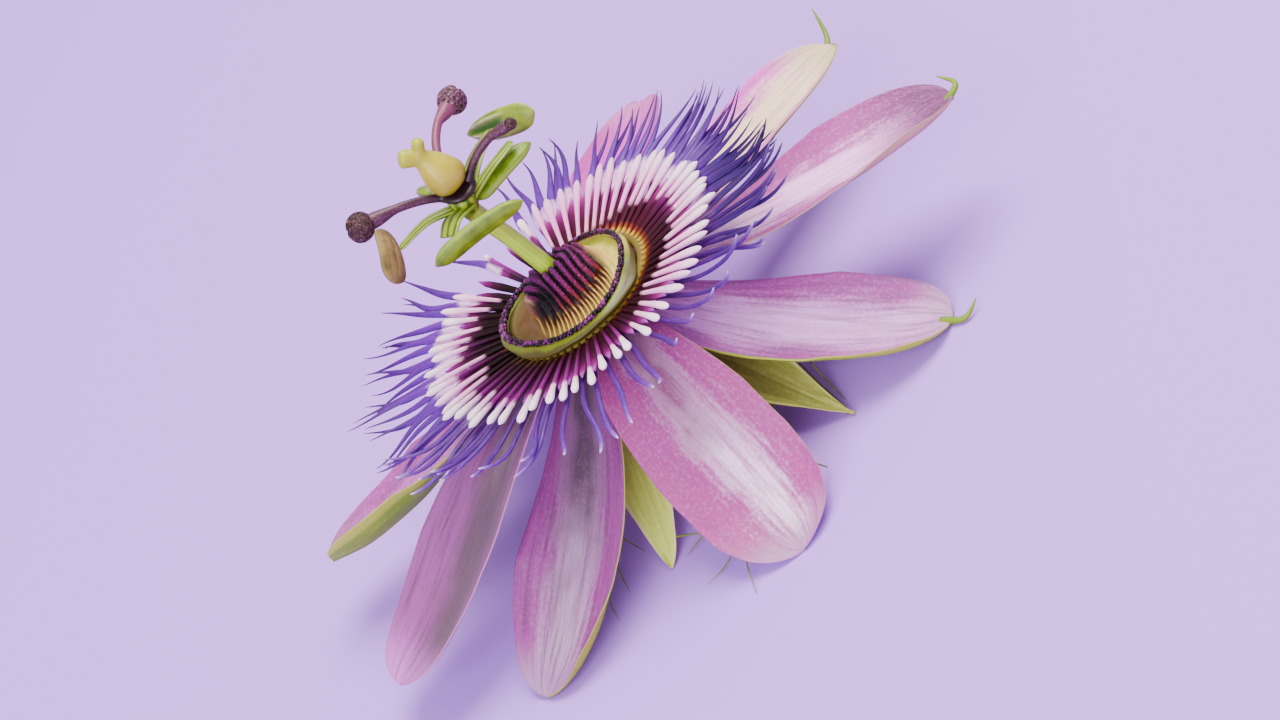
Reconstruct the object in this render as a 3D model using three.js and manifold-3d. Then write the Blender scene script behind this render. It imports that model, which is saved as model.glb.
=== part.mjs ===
// A passion flower as picked, resting face up on its bent-back petals and bracts.
// Millimetres. X runs to the right, Y to the back and Z up, along the axis of the flower.
// Azimuths are in degrees round that axis, from +X towards the front (-Y).
// Heights are measured from the plane where the filaments take root, and the last lines
// set the whole flower down with the middle of its base at the origin.
import * as THREE from 'three';
import { mergeVertices } from 'three/addons/utils/BufferGeometryUtils.js';
import Module from 'manifold-3d';

const wasm = await Module();
wasm.setup();

// ---- driving dimensions ----

const SURFACE = -22;
const GAP = 0.3;
const UP = new THREE.Vector3(0, 0, 1);
const SLAB = { width: 140, depth: 4 };

const CUP = {
  rimRadius: 8.5,
  rimHeight: 1.4,
  // the rim leans off the axis and swells in three soft lobes
  rimShift: -0.5,
  rimForward: -0.4,
  rimLobes: 0.45,
  wall: 0.6,
  flangeRadius: 10.0,
  flangeHeight: 0.8,
  throatRadius: 8.4,
  floorHeight: -1.9,
  bottomHeight: -7.2,
  sides: 30,
};

const STALK = {
  radius: 1.5,
  end: [2.0, 4.0, -18.8],
  sides: 8,
};

const CORONA_ROOT = { inner: 8.75, outer: 9.75, thickness: 0.6, sides: 30 };

const LONG_FILAMENTS = {
  count: 60,
  seed: 11,
  rootHeight: -0.75,
  reach: 30.4,
  reachSpread: 1.3,
  width: 0.95,
  thickness: 0.7,
  steps: 5,
  sides: 3,
};

const CLUBS = {
  count: 60,
  seed: 23,
  rootHeight: 0.15,
  reach: 20.6,
  reachSpread: 0.6,
  neckWidth: 0.62,
  sides: 4,
};

const BEADS = { count: 62, radius: 0.46, swell: 0.22, sides: 4 };

const OPERCULUM = {
  pleats: 24,
  hole: 1.55,
  // radius, height and depth of the pleats, from the outer edge to the crown
  profile: [
    [7.45, 0.75, 0.02],
    [6.5, 1.25, 0.05],
    [5.7, 2.1, 0.07],
    [5.2, 3.1, 0.08],
    [4.4, 4.3, 0.09],
    [3.3, 5.2, 0.09],
    [2.2, 5.6, 0.06],
  ],
  crown: 5.1,
  underside: -1.5,
};

const COLUMN = { radius: 1.12, flare: 1.35, foot: [0, 0, -1.6], top: [-2.08, -0.95, 18.15], sides: 12 };

const SLEEVE = { bottom: [-2.1, -1.0, 18.85], top: [-1.75, -1.5, 20.6], radius: 1.3, topRadius: 1.5 };

// filament: the points it runs through, from the sleeve to the back of its anther
// along: direction of the anther's long axis; back: direction from the anther to the filament
// slide: how far the middle of the anther lies along it from the end of the filament
const STAMENS = [
  {
    filament: [[-2.3, -2.0, 19.4], [-4.4, -3.6, 20.1], [-6.0, -4.9, 19.6]],
    along: [1, -0.22, 0], back: [0, 0.85, 0.5], length: 12.6, slide: 3.3,
  },
  {
    filament: [[-2.9, -1.1, 19.6], [-6.6, -1.2, 21.0], [-10.9, -0.5, 20.5]],
    along: [-0.3, -0.9, -0.2], back: [0.9, -0.3, 0.2], length: 9, slide: -0.5,
  },
  {
    filament: [[-1.2, -0.1, 19.7], [2.4, 1.9, 21.2], [6.0, 5.0, 20.9]],
    along: [0.6, -0.8, 0.1], back: [-0.5, -0.4, 0.3], length: 11, slide: 0,
  },
  {
    filament: [[-0.8, -1.4, 19.6], [2.8, -2.2, 21.0], [6.6, -1.0, 21.1]],
    along: [0.95, 0.05, 0.05], back: [0.05, -0.1, 1], length: 8, slide: -3.2,
  },
  {
    filament: [[-2.4, -0.1, 19.7], [-3.2, 2.6, 21.0], [-2.8, 6.6, 21.0]],
    along: [-0.05, 0.87, -0.5], back: [0.6, 0.3, 0.6], length: 10, slide: 3.9,
  },
];
const FILAMENT = { width: 1.7, thickness: 0.75, steps: 5, sides: 4 };
const ANTHER = { width: 3.6, thickness: 1.7, steps: 6, sides: 8 };

const OVARY = {
  bottom: [-1.35, -2.2, 23.15],
  neck: [-2.2, -2.2, 28.4],
  width: 4.7,
  lobeSpread: 1.25,
  sides: 12,
};

const COLLAR = { bottom: [-1.6, -1.75, 21.25], top: [-1.4, -2.1, 22.3], radius: 2.3 };

// each style leaves the collar, and its stigma sits at the last point
const STYLES = [
  [[-1.0, -0.6, 22.0], [-0.5, 2.6, 24.4], [1.8, 6.1, 25.5], [3.35, 7.6, 25.3]],
  [[0.0, -2.6, 22.0], [2.4, -3.2, 23.8], [5.0, -4.0, 24.8], [6.9, -4.9, 24.9]],
  [[-3.0, -2.0, 21.9], [-5.1, -1.8, 23.5], [-7.9, -1.7, 25.0], [-10.4, -1.7, 25.8]],
];
const STYLE = { radius: 0.55, endRadius: 0.7, steps: 7, sides: 6 };
// one stigma is small, because its style is still growing
const STIGMA = { radii: [1.85, 0.9, 1.85], flatness: 0.95 };

// Petals and sepals: a blade along a curve that leaves the tube at its base azimuth.
// rise and drop are the angles of the curve with the horizontal at its base and its tip,
// fold is how far the edges stand up, as a share of the half width, and roll is the turn
// of the blade about its own length at its tip.
// The fold and the waves grow from nothing at the base.
const FOLD_GROWTH = 1.7;
const BLADE = { thickness: 0.75, baseRadius: 9.15, lengthSteps: 10, widthSteps: 6, roundness: 3.2 };
const TEPALS = [
  {
    name: 'sepal_1', base: -33, layer: 2, tip: [43.6, 23.6, -11.4], rise: -20, drop: 8,
    width: 12, fold: 0.35, roll: 10, wave: 0.3,
    awn: [[0.5, 2.0, 0.2], [1.6, 4.6, 3.0]],
  },
  {
    name: 'sepal_2', base: 5, layer: 1, tip: [47.2, -11.5, -7.8], rise: -20, drop: 2,
    width: 14.5, fold: 0.26, roll: 0, wave: 0.3,
    awn: [[1.2, 0.6, 0.4], [0.4, 3.6, 1.2]],
  },
  {
    name: 'sepal_3', base: 47, layer: 2, tip: [29.6, -24.6, -21.6], rise: -38, drop: 10,
    width: 16, fold: 0.24, roll: -4, wave: 0.3,
    awn: [[1.0, -2.0, 0.1], [3.4, -1.6, 0.8]],
  },
  {
    name: 'petal_1', base: 91, layer: 0, tip: [-0.3, -38.5, -21.6], rise: -9, drop: 10,
    width: 16.2, fold: 0.16, roll: 0, wave: 0.4,
  },
  {
    name: 'sepal_4', base: 128, layer: 2, tip: [-33.4, -24.9, -21.6], rise: -26, drop: 14,
    width: 16.5, fold: 0.24, roll: -6, wave: 0.4,
  },
  {
    name: 'petal_2', base: 162, layer: 0, tip: [-45.7, -9.7, -16.0], rise: -6, drop: 6,
    width: 16.5, fold: 0.2, roll: 0, wave: 0.4,
  },
  {
    name: 'sepal_5', base: 204, layer: 1, tip: [-43.4, 18.8, -13.4], rise: -18, drop: -6,
    width: 13, fold: 0.5, roll: 20, wave: 0.3,
  },
  {
    name: 'petal_3', base: 238, layer: 0, tip: [-18.5, 32.0, -21.6], rise: -12, drop: 30,
    width: 14, fold: 0.2, roll: 0, wave: 0.4,
  },
  {
    name: 'petal_4', base: 268, layer: 2, tip: [-1.3, 37.0, -21.6], rise: -24, drop: 26,
    width: 14, fold: 0.2, roll: 0, wave: 0.4,
  },
  {
    name: 'petal_5', base: 299, layer: 0, tip: [22.4, 43.4, -9.4], rise: -10, drop: 6,
    width: 13.5, fold: 0.3, roll: 0, wave: 0.4, roundness: 2.2,
  },
];
const LAYER_HEIGHTS = [-1.35, -2.55, -3.75];

const BRACTS = [
  { name: 'bract_1', base: 128, tip: [-13.1, -22.7, -21.6], height: -8.4, rise: -6, drop: 20, width: 8.5 },
  { name: 'bract_2', base: 50, tip: [14.1, -25.1, -21.6], height: -9.6, rise: -6, drop: 20, width: 9.5 },
  { name: 'bract_3', base: 84, tip: [5.6, -21.0, -21.6], height: -11.2, rise: -45, drop: 6, width: 12 },
];

// ---- solids ----

const vector = (values) => new THREE.Vector3(...values);

function polar(radius, azimuth, height) {
  const angle = THREE.MathUtils.degToRad(azimuth);
  return new THREE.Vector3(radius * Math.cos(angle), -radius * Math.sin(angle), height);
}

// Repeatable random numbers from 0 to 1.
function drawFrom(seed) {
  let state = seed;
  return () => {
    state = (state * 1664525 + 1013904223) % 4294967296;
    return state / 4294967296;
  };
}

function geometryFrom(positions, index) {
  const geometry = new THREE.BufferGeometry();
  geometry.setAttribute('position', new THREE.Float32BufferAttribute(positions, 3));
  geometry.setIndex(index);
  return geometry;
}

function toSolid(geometry) {
  geometry.deleteAttribute('normal');
  geometry.deleteAttribute('uv');
  const merged = mergeVertices(geometry, 1e-4);
  return new wasm.Manifold(new wasm.Mesh({
    numProp: 3,
    vertProperties: new Float32Array(merged.attributes.position.array),
    triVerts: new Uint32Array(merged.index.array),
  }));
}

function fuse(geometries) {
  const joined = geometries.map(toSolid).reduce((sum, next) => sum.add(next));
  const mesh = joined.getMesh();
  return geometryFrom(Array.from(mesh.vertProperties), Array.from(mesh.triVerts));
}

// Joins closed rings of points, all with the same number, and caps both ends.
// The rings run counter-clockwise seen from the far end.
function loft(rings) {
  const sides = rings[0].length;
  const points = rings.flat();
  const index = [];
  const startCap = points.length;
  const endCap = startCap + 1;
  const middleOf = (ring) => ring.reduce((sum, p) => sum.add(p), new THREE.Vector3())
    .divideScalar(sides);
  points.push(middleOf(rings[0]), middleOf(rings[rings.length - 1]));
  for (let ring = 0; ring < rings.length - 1; ring += 1) {
    for (let side = 0; side < sides; side += 1) {
      const next = (side + 1) % sides;
      const here = ring * sides;
      const ahead = here + sides;
      index.push(here + side, here + next, ahead + next);
      index.push(here + side, ahead + next, ahead + side);
    }
  }
  const last = (rings.length - 1) * sides;
  for (let side = 0; side < sides; side += 1) {
    const next = (side + 1) % sides;
    index.push(startCap, next, side);
    index.push(endCap, last + side, last + next);
  }
  return geometryFrom(points.flatMap((p) => p.toArray()), index);
}

// A limb of elliptical section along points; each station gives its half width across
// and its half thickness, and sideHint is the direction that the width keeps closest to.
function limb(points, halfWidths, halfThicknesses, sides, sideHint) {
  const rings = points.map((point, step) => {
    const before = points[Math.max(step - 1, 0)];
    const after = points[Math.min(step + 1, points.length - 1)];
    const ahead = after.clone().sub(before).normalize();
    const side = sideHint.clone().addScaledVector(ahead, -sideHint.dot(ahead)).normalize();
    const normal = ahead.clone().cross(side);
    const ring = [];
    for (let corner = 0; corner < sides; corner += 1) {
      const angle = (corner / sides) * Math.PI * 2 + Math.PI / 2;
      ring.push(point.clone()
        .addScaledVector(side, Math.cos(angle) * halfWidths[step])
        .addScaledVector(normal, Math.sin(angle) * halfThicknesses[step]));
    }
    return ring;
  });
  return loft(rings);
}

function sampled(points, steps) {
  return new THREE.CatmullRomCurve3(points.map(vector)).getPoints(steps);
}

function turned(profile, sides, shape = (radius) => radius) {
  const rings = profile.map(([radius, height, extra = 0]) => {
    const ring = [];
    for (let side = 0; side < sides; side += 1) {
      const azimuth = -(side / sides) * 360;
      ring.push(polar(shape(radius, side, extra), azimuth, height));
    }
    return ring;
  });
  return rings;
}

// A turned wall that closes on itself, such as a ring.
function closedRing(rings) {
  const sides = rings[0].length;
  const points = rings.flat();
  const index = [];
  rings.forEach((_, ring) => {
    const here = ring * sides;
    const ahead = ((ring + 1) % rings.length) * sides;
    for (let side = 0; side < sides; side += 1) {
      const next = (side + 1) % sides;
      index.push(here + side, here + next, ahead + next);
      index.push(here + side, ahead + next, ahead + side);
    }
  });
  return geometryFrom(points.flatMap((p) => p.toArray()), index);
}

// Cuts off whatever would reach below the surface, which leaves a small flat spot.
function seated(geometry) {
  geometry.computeBoundingBox();
  if (geometry.boundingBox.min.z >= SURFACE) {
    return geometry;
  }
  const slab = new THREE.BoxGeometry(SLAB.width, SLAB.width, SLAB.depth);
  slab.translate(0, 0, SURFACE - SLAB.depth / 2);
  const mesh = toSolid(geometry).subtract(toSolid(slab)).getMesh();
  return geometryFrom(Array.from(mesh.vertProperties), Array.from(mesh.triVerts));
}

// ---- the tube, its cup and the stalk ----

// Moves a point of the rim by the share of its lean and lobes that it has.
function leaned(point, share) {
  const lobe = -Math.sin(3 * Math.atan2(-point.y, point.x)) * CUP.rimLobes * share;
  const grown = 1 + lobe / Math.hypot(point.x, point.y);
  point.set(point.x * grown, point.y * grown, point.z);
  point.x += CUP.rimShift * share;
  point.y += CUP.rimForward * share;
  return point;
}

function floralTube() {
  const { rimRadius, rimHeight, wall, flangeRadius, flangeHeight, throatRadius } = CUP;
  const profile = [
    [1.4, CUP.bottomHeight],
    [4.6, CUP.bottomHeight + 0.7],
    [7.2, CUP.bottomHeight + 2.2],
    [throatRadius, -4.2],
    [throatRadius, flangeHeight - 0.05],
    [flangeRadius, flangeHeight],
    [rimRadius + wall, flangeHeight + 0.3],
    [rimRadius + wall / 2, rimHeight],
    [rimRadius - wall / 2, rimHeight],
    [rimRadius - wall, flangeHeight - 0.1],
    [7.4, CUP.floorHeight + 0.5],
    [5.0, CUP.floorHeight],
    [1.4, CUP.floorHeight],
  ];
  const rings = turned(profile, CUP.sides).map((ring) => ring.map((point) => {
    const share = Math.max(0, (point.z - flangeHeight) / (rimHeight - flangeHeight));
    return leaned(point, share);
  }));
  const start = new THREE.Vector3(0, 0, CUP.bottomHeight + 1);
  const stalkPoints = sampled([start.toArray(), [0.2, 0.4, -12], STALK.end], 6);
  const radii = stalkPoints.map(() => STALK.radius);
  const stalk = limb(stalkPoints, radii, radii, STALK.sides, new THREE.Vector3(1, 0, 0));
  return fuse([loft(rings), stalk]);
}

// ---- the filaments ----

function rootRing(height) {
  const { inner, outer, thickness, sides } = CORONA_ROOT;
  const half = thickness / 2;
  return closedRing(turned([
    [inner, height - half],
    [outer, height - half],
    [outer, height + half],
    [inner, height + half],
  ], sides));
}

// Height of the filaments over the root plane at a distance from the axis: a shallow
// funnel that levels off.
function funnel(radius) {
  const out = Math.max(0, radius - 9.8);
  return 0.2 * out - 0.0052 * out * out;
}

function longFilament(number, draw) {
  const spec = LONG_FILAMENTS;
  const azimuth = (number + 0.5) * (360 / spec.count);
  const reach = spec.reach + (draw() - 0.5) * 2 * spec.reachSpread;
  const sway = (draw() - 0.5) * 9;
  const curl = (draw() - 0.35) * 3.4;
  const start = CORONA_ROOT.outer - 0.45;
  const points = [];
  const widths = [];
  const depths = [];
  for (let step = 0; step <= spec.steps; step += 1) {
    const share = step / spec.steps;
    const radius = start + (reach - start) * share;
    const late = Math.max(0, share - 0.5) * 2;
    const height = spec.rootHeight + funnel(radius) + curl * late * late;
    points.push(polar(radius, azimuth + sway * share * share, height));
    const taper = share < 0.75 ? 1 : 1 - ((share - 0.75) / 0.25) * 0.85;
    widths.push((spec.width / 2) * taper);
    depths.push((spec.thickness / 2) * (step ? taper : 0.7));
  }
  const side = polar(1, azimuth + 90, 0);
  return limb(points, widths, depths, spec.sides, side);
}

function club(number, draw) {
  const spec = CLUBS;
  const azimuth = number * (360 / spec.count) + 3;
  const reach = spec.reach + (draw() - 0.5) * 2 * spec.reachSpread;
  const lift = draw() * 0.4;
  const sway = (draw() - 0.5) * 3;
  const start = CORONA_ROOT.outer - 0.45;
  // share of the length, width and depth as shares of the neck's
  const stations = [[0, 0.9, 0.8], [0.72, 1.2, 1.1], [0.9, 2.1, 1.4], [1, 0.5, 0.5]];
  const points = stations.map(([share]) => {
    const radius = start + (reach - start) * share;
    return polar(radius, azimuth + sway * share, spec.rootHeight + funnel(radius) + lift * share);
  });
  const widths = stations.map(([, width]) => (spec.neckWidth / 2) * width);
  const depths = stations.map(([, , depth]) => (spec.neckWidth / 2) * depth);
  const side = polar(1, azimuth + 90, 0);
  return limb(points, widths, depths, spec.sides, side);
}

function corona(makeFilament, spec) {
  const draw = drawFrom(spec.seed);
  const pieces = [rootRing(spec.rootHeight)];
  for (let number = 0; number < spec.count; number += 1) {
    pieces.push(makeFilament(number, draw));
  }
  return fuse(pieces);
}

// ---- inside the cup ----

function cupBeads() {
  const rings = [];
  const middle = CUP.rimHeight + GAP + BEADS.radius + BEADS.swell / 2;
  for (let corner = 0; corner < BEADS.sides; corner += 1) {
    const angle = (corner / BEADS.sides) * Math.PI * 2 - Math.PI / 2;
    const ring = [];
    for (let side = 0; side < BEADS.count * 2; side += 1) {
      const size = BEADS.radius + (side % 2 ? -BEADS.swell : BEADS.swell) * 0.5;
      const radius = CUP.rimRadius + Math.cos(angle) * size;
      const azimuth = -(side / (BEADS.count * 2)) * 360;
      ring.push(leaned(polar(radius, azimuth, middle + Math.sin(angle) * size), 1));
    }
    rings.push(ring);
  }
  return closedRing(rings);
}

function operculum() {
  const { pleats, hole, profile, crown, underside } = OPERCULUM;
  const bottom = [
    [hole, underside],
    [6.6, underside + 0.2],
    [7.3, 0.0],
  ];
  const rings = turned([...bottom, ...profile, [hole, crown]], pleats * 2, (radius, side, depth) => (
    radius * (1 + (side % 2 ? depth : -depth) * 0.5)
  ));
  return closedRing(rings);
}

// ---- the column and what it carries ----

function androgynophore() {
  const points = sampled([COLUMN.foot, [0, 0, 4], [-0.9, -0.3, 11.5], COLUMN.top], 6);
  const radii = points.map((_, step) => (step === 0 ? COLUMN.flare : COLUMN.radius));
  return limb(points, radii, radii, COLUMN.sides, new THREE.Vector3(1, 0, 0));
}

function stamenFilaments() {
  const { bottom, top, radius, topRadius } = SLEEVE;
  const sleevePoints = sampled([bottom, top], 2);
  const radii = [radius, (radius + topRadius) / 2, topRadius];
  const pieces = [limb(sleevePoints, radii, radii, 10, new THREE.Vector3(1, 0, 0))];
  STAMENS.forEach(({ filament }) => {
    const points = sampled(filament, FILAMENT.steps);
    const widths = points.map((_, step) => (FILAMENT.width / 2) * (1 - 0.45 * (step / FILAMENT.steps)));
    const depths = points.map(() => FILAMENT.thickness / 2);
    const out = points[points.length - 1].clone().sub(points[0]);
    pieces.push(limb(points, widths, depths, FILAMENT.sides, UP.clone().cross(out).normalize()));
  });
  return fuse(pieces);
}

function anther({ filament, along, back, length, slide }) {
  const axis = vector(along).normalize();
  const outward = vector(back);
  outward.addScaledVector(axis, -outward.dot(axis)).normalize();
  const seat = ANTHER.thickness / 2 + FILAMENT.thickness / 2 + GAP;
  const middle = vector(filament[2]).addScaledVector(outward, -seat).addScaledVector(axis, slide);
  const side = outward.clone().cross(axis);
  const points = [];
  const widths = [];
  const depths = [];
  for (let step = 0; step <= ANTHER.steps; step += 1) {
    const share = step / ANTHER.steps;
    const offset = (0.5 - 0.5 * Math.cos(share * Math.PI)) - 0.5;
    const swell = Math.max(0.12, Math.sqrt(1 - (2 * offset) ** 2));
    points.push(middle.clone()
      .addScaledVector(axis, offset * length)
      .addScaledVector(outward, -2.2 * offset * offset));
    widths.push((ANTHER.width / 2) * swell);
    depths.push((ANTHER.thickness / 2) * swell);
  }
  return limb(points, widths, depths, ANTHER.sides, side);
}

function ovary() {
  const bottom = vector(OVARY.bottom);
  const neck = vector(OVARY.neck);
  const stations = [
    [0, 0.6], [0.1, 0.88], [0.27, 1], [0.5, 0.9], [0.75, 0.66], [0.95, 0.44], [1.08, 0.42],
  ];
  const points = stations.map(([share]) => bottom.clone().lerp(neck, share));
  const radii = stations.map(([, scale]) => (OVARY.width / 2) * scale);
  const side = new THREE.Vector3(1, 0, 0);
  const body = limb(points, radii, radii, OVARY.sides, side);
  const lobes = [-1, 1].map((turn) => {
    const start = bottom.clone().lerp(neck, 0.95);
    const spread = new THREE.Vector3(turn * 0.9, -turn * 0.35, 0).multiplyScalar(OVARY.lobeSpread);
    const end = bottom.clone().lerp(neck, 1.36).add(spread);
    const steps = [0, 0.35, 0.7, 1].map((share) => start.clone().lerp(end, share));
    const sizes = [0.7, 0.95, 1.15, 0.6];
    return limb(steps, sizes, sizes, 8, side);
  });
  return fuse([body, ...lobes]);
}

function styles() {
  const { bottom, top, radius } = COLLAR;
  const collarPoints = sampled([bottom, top], 2);
  const collarRadii = [radius * 0.72, radius, radius * 0.86];
  const side = new THREE.Vector3(1, 0, 0);
  const pieces = [limb(collarPoints, collarRadii, collarRadii, 12, side)];
  STYLES.forEach((route) => {
    const points = sampled(route, STYLE.steps);
    const radii = points.map((_, step) => (
      THREE.MathUtils.lerp(STYLE.radius, STYLE.endRadius, step / STYLE.steps)
    ));
    pieces.push(limb(points, radii, radii, STYLE.sides, new THREE.Vector3(0, 1, 0.2).normalize()));
  });
  return fuse(pieces);
}

function stigma(route, radius) {
  const end = vector(route[route.length - 1]);
  const ahead = end.clone().sub(vector(route[route.length - 2])).normalize();
  const centre = end.clone().addScaledVector(ahead, radius + GAP);
  const geometry = new THREE.IcosahedronGeometry(radius, 1);
  geometry.deleteAttribute('normal');
  geometry.deleteAttribute('uv');
  const merged = mergeVertices(geometry, 1e-4);
  merged.scale(1, 1, STIGMA.flatness);
  merged.applyQuaternion(new THREE.Quaternion().setFromUnitVectors(UP, ahead));
  merged.translate(...centre.toArray());
  return merged;
}

// ---- petals, sepals and bracts ----

// Half width along a blade, as a share of the widest: a base of baseShare swells to full
// width at widest, and the tip is round.
function outline(share, baseShare, widest, roundness) {
  if (share < widest) {
    return baseShare + (1 - baseShare) * Math.sin((share / widest) * (Math.PI / 2));
  }
  const rest = (share - widest) / (1 - widest);
  return Math.sqrt(Math.max(0.012, 1 - rest ** roundness));
}

function blade(spec) {
  const { start, heading, rise, tip, drop, width, fold, roll, wave, baseShare, widest } = spec;
  const { thickness, lengthSteps, widthSteps } = BLADE;
  const reach = tip.clone().sub(start).length();
  const level = tip.clone().sub(start).setZ(0).normalize();
  const riseAngle = THREE.MathUtils.degToRad(rise);
  const dropAngle = THREE.MathUtils.degToRad(drop);
  const leave = heading.clone().multiplyScalar(Math.cos(riseAngle)).addScaledVector(UP, Math.sin(riseAngle));
  const arrive = level.clone().multiplyScalar(Math.cos(dropAngle)).addScaledVector(UP, -Math.sin(dropAngle));
  const midrib = new THREE.CubicBezierCurve3(
    start,
    start.clone().addScaledVector(leave, reach * 0.36),
    tip.clone().addScaledVector(arrive, -reach * 0.36),
    tip,
  );
  const sideHint = UP.clone().cross(level);
  const upper = [];
  const lower = [];
  for (let step = 0; step <= lengthSteps; step += 1) {
    const share = 1 - (1 - step / lengthSteps) ** 1.5;
    const ahead = midrib.getTangent(share);
    const flat = sideHint.clone().addScaledVector(ahead, -sideHint.dot(ahead)).normalize();
    const turn = THREE.MathUtils.degToRad(roll * share);
    const normal = ahead.clone().cross(flat);
    const side = flat.clone().multiplyScalar(Math.cos(turn)).addScaledVector(normal, Math.sin(turn));
    const face = ahead.clone().cross(side);
    const half = (width / 2) * outline(share, baseShare, widest, spec.roundness ?? BLADE.roundness);
    for (let across = 0; across <= widthSteps; across += 1) {
      const q = (across / widthSteps) * 2 - 1;
      const cup = fold * half * q * q * Math.min(1, share * FOLD_GROWTH) ** 2;
      const ripple = wave * q * q * share * Math.sin(share * 9 + q * 1.3 + spec.phase);
      const point = midrib.getPoint(share)
        .addScaledVector(side, half * q * (1 - 0.2 * fold * q * q))
        .addScaledVector(face, cup + ripple);
      upper.push(point);
      lower.push(point.clone().addScaledVector(face, -thickness));
    }
  }
  return sheet(upper, lower, lengthSteps, widthSteps);
}

// Closes two like grids of points into a thin solid.
function sheet(upper, lower, lengthSteps, widthSteps) {
  const row = widthSteps + 1;
  const below = upper.length;
  const index = [];
  for (let step = 0; step < lengthSteps; step += 1) {
    for (let across = 0; across < widthSteps; across += 1) {
      const a = step * row + across;
      const b = a + row;
      index.push(a, b, b + 1, a, b + 1, a + 1);
      index.push(below + a, below + b + 1, below + b, below + a, below + a + 1, below + b + 1);
    }
    const first = step * row;
    const last = first + widthSteps;
    index.push(first, below + first, below + first + row, first, below + first + row, first + row);
    index.push(last, last + row, below + last + row, last, below + last + row, below + last);
  }
  const end = lengthSteps * row;
  for (let across = 0; across < widthSteps; across += 1) {
    index.push(across, across + 1, below + across + 1, across, below + across + 1, below + across);
    const a = end + across;
    index.push(a, below + a, below + a + 1, a, below + a + 1, a + 1);
  }
  return geometryFrom([...upper, ...lower].flatMap((p) => p.toArray()), index);
}

function tepal(spec, number) {
  const start = polar(BLADE.baseRadius, spec.base, LAYER_HEIGHTS[spec.layer]);
  const tip = vector(spec.tip);
  const shape = blade({
    ...spec, start, tip, heading: polar(1, spec.base, 0), baseShare: 0.5, widest: 0.58, phase: number,
  });
  if (!spec.awn) {
    return seated(shape);
  }
  const inward = start.clone().sub(tip).normalize();
  const root = tip.clone().addScaledVector(inward, 1.6).add(new THREE.Vector3(0, 0, -0.35));
  const points = [root, ...spec.awn.map((offset) => tip.clone().add(vector(offset)))];
  const route = new THREE.CatmullRomCurve3(points).getPoints(4);
  const radii = [0.55, 0.45, 0.38, 0.3, 0.12];
  const side = new THREE.Vector3(0, 0, 1).cross(inward).normalize();
  return seated(fuse([shape, limb(route, radii, radii, 5, side)]));
}

function bract({ base, tip, height, rise, drop, width }, number) {
  const shape = blade({
    start: polar(STALK.radius + 1.0, base, height),
    tip: vector(tip),
    heading: polar(1, base, 0),
    rise,
    drop,
    width,
    fold: 0.15,
    roll: 0,
    wave: 0.3,
    baseShare: 0.35,
    widest: 0.4,
    phase: number * 2,
  });
  return seated(shape);
}

// ---- the flower ----

const colours = {
  tube: ['#a9b24a', 0.6],
  violet: ['#6a4bb5', 0.55],
  club: ['#f0e2ea', 0.55],
  bead: ['#4b1460', 0.5],
  operculum: ['#8a2f5a', 0.6],
  column: ['#b5d06a', 0.5],
  filament: ['#8dbb3e', 0.5],
  anther: ['#86b82e', 0.55],
  ovary: ['#efe6b0', 0.5],
  style: ['#7c3360', 0.5],
  stigma: ['#5a3a4a', 0.8],
  petal: ['#d9a9d6', 0.6],
  sepal: ['#d29fcf', 0.6],
  bract: ['#9cb84a', 0.6],
};

const flower = new THREE.Group();

function addPiece(name, geometry, finish) {
  const [color, roughness] = colours[finish];
  const material = new THREE.MeshStandardMaterial({ color, roughness, metalness: 0 });
  const mesh = new THREE.Mesh(geometry, material);
  mesh.name = name;
  flower.add(mesh);
}

addPiece('floral_tube', floralTube(), 'tube');
addPiece('corona_outer', corona(longFilament, LONG_FILAMENTS), 'violet');
addPiece('corona_inner', corona(club, CLUBS), 'club');
addPiece('cup_beads', cupBeads(), 'bead');
addPiece('operculum', operculum(), 'operculum');
addPiece('androgynophore', androgynophore(), 'column');
addPiece('stamen_filaments', stamenFilaments(), 'filament');
STAMENS.forEach((stamen, number) => {
  addPiece(`anther_${number + 1}`, anther(stamen), 'anther');
});
addPiece('ovary', ovary(), 'ovary');
addPiece('styles', styles(), 'style');
STYLES.forEach((route, number) => {
  addPiece(`stigma_${number + 1}`, stigma(route, STIGMA.radii[number]), 'stigma');
});
TEPALS.forEach((spec, number) => {
  addPiece(spec.name, tepal(spec, number), spec.name.startsWith('petal') ? 'petal' : 'sepal');
});
BRACTS.forEach((spec, number) => addPiece(spec.name, bract(spec, number), 'bract'));

const extent = new THREE.Box3().setFromObject(flower);
const middle = extent.getCenter(new THREE.Vector3());
flower.position.set(-middle.x, -middle.y, -extent.min.z);

export default flower;
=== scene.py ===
"""A passion flower as picked, resting face up on its bent-back petals and bracts.

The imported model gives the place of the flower. Every node is replaced here by a finer
mesh on the same curves, with the finish of the living tissue. Sizes are in millimetres in the
frame of the flower: x to the right, y to the back, and z up its axis from the plane where
the filaments take root. Azimuths are in degrees round the axis, from +x to the front (-y).
"""

import functools
import math

import bmesh
import bpy
import numpy as np
from mathutils import Matrix, Vector


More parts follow.
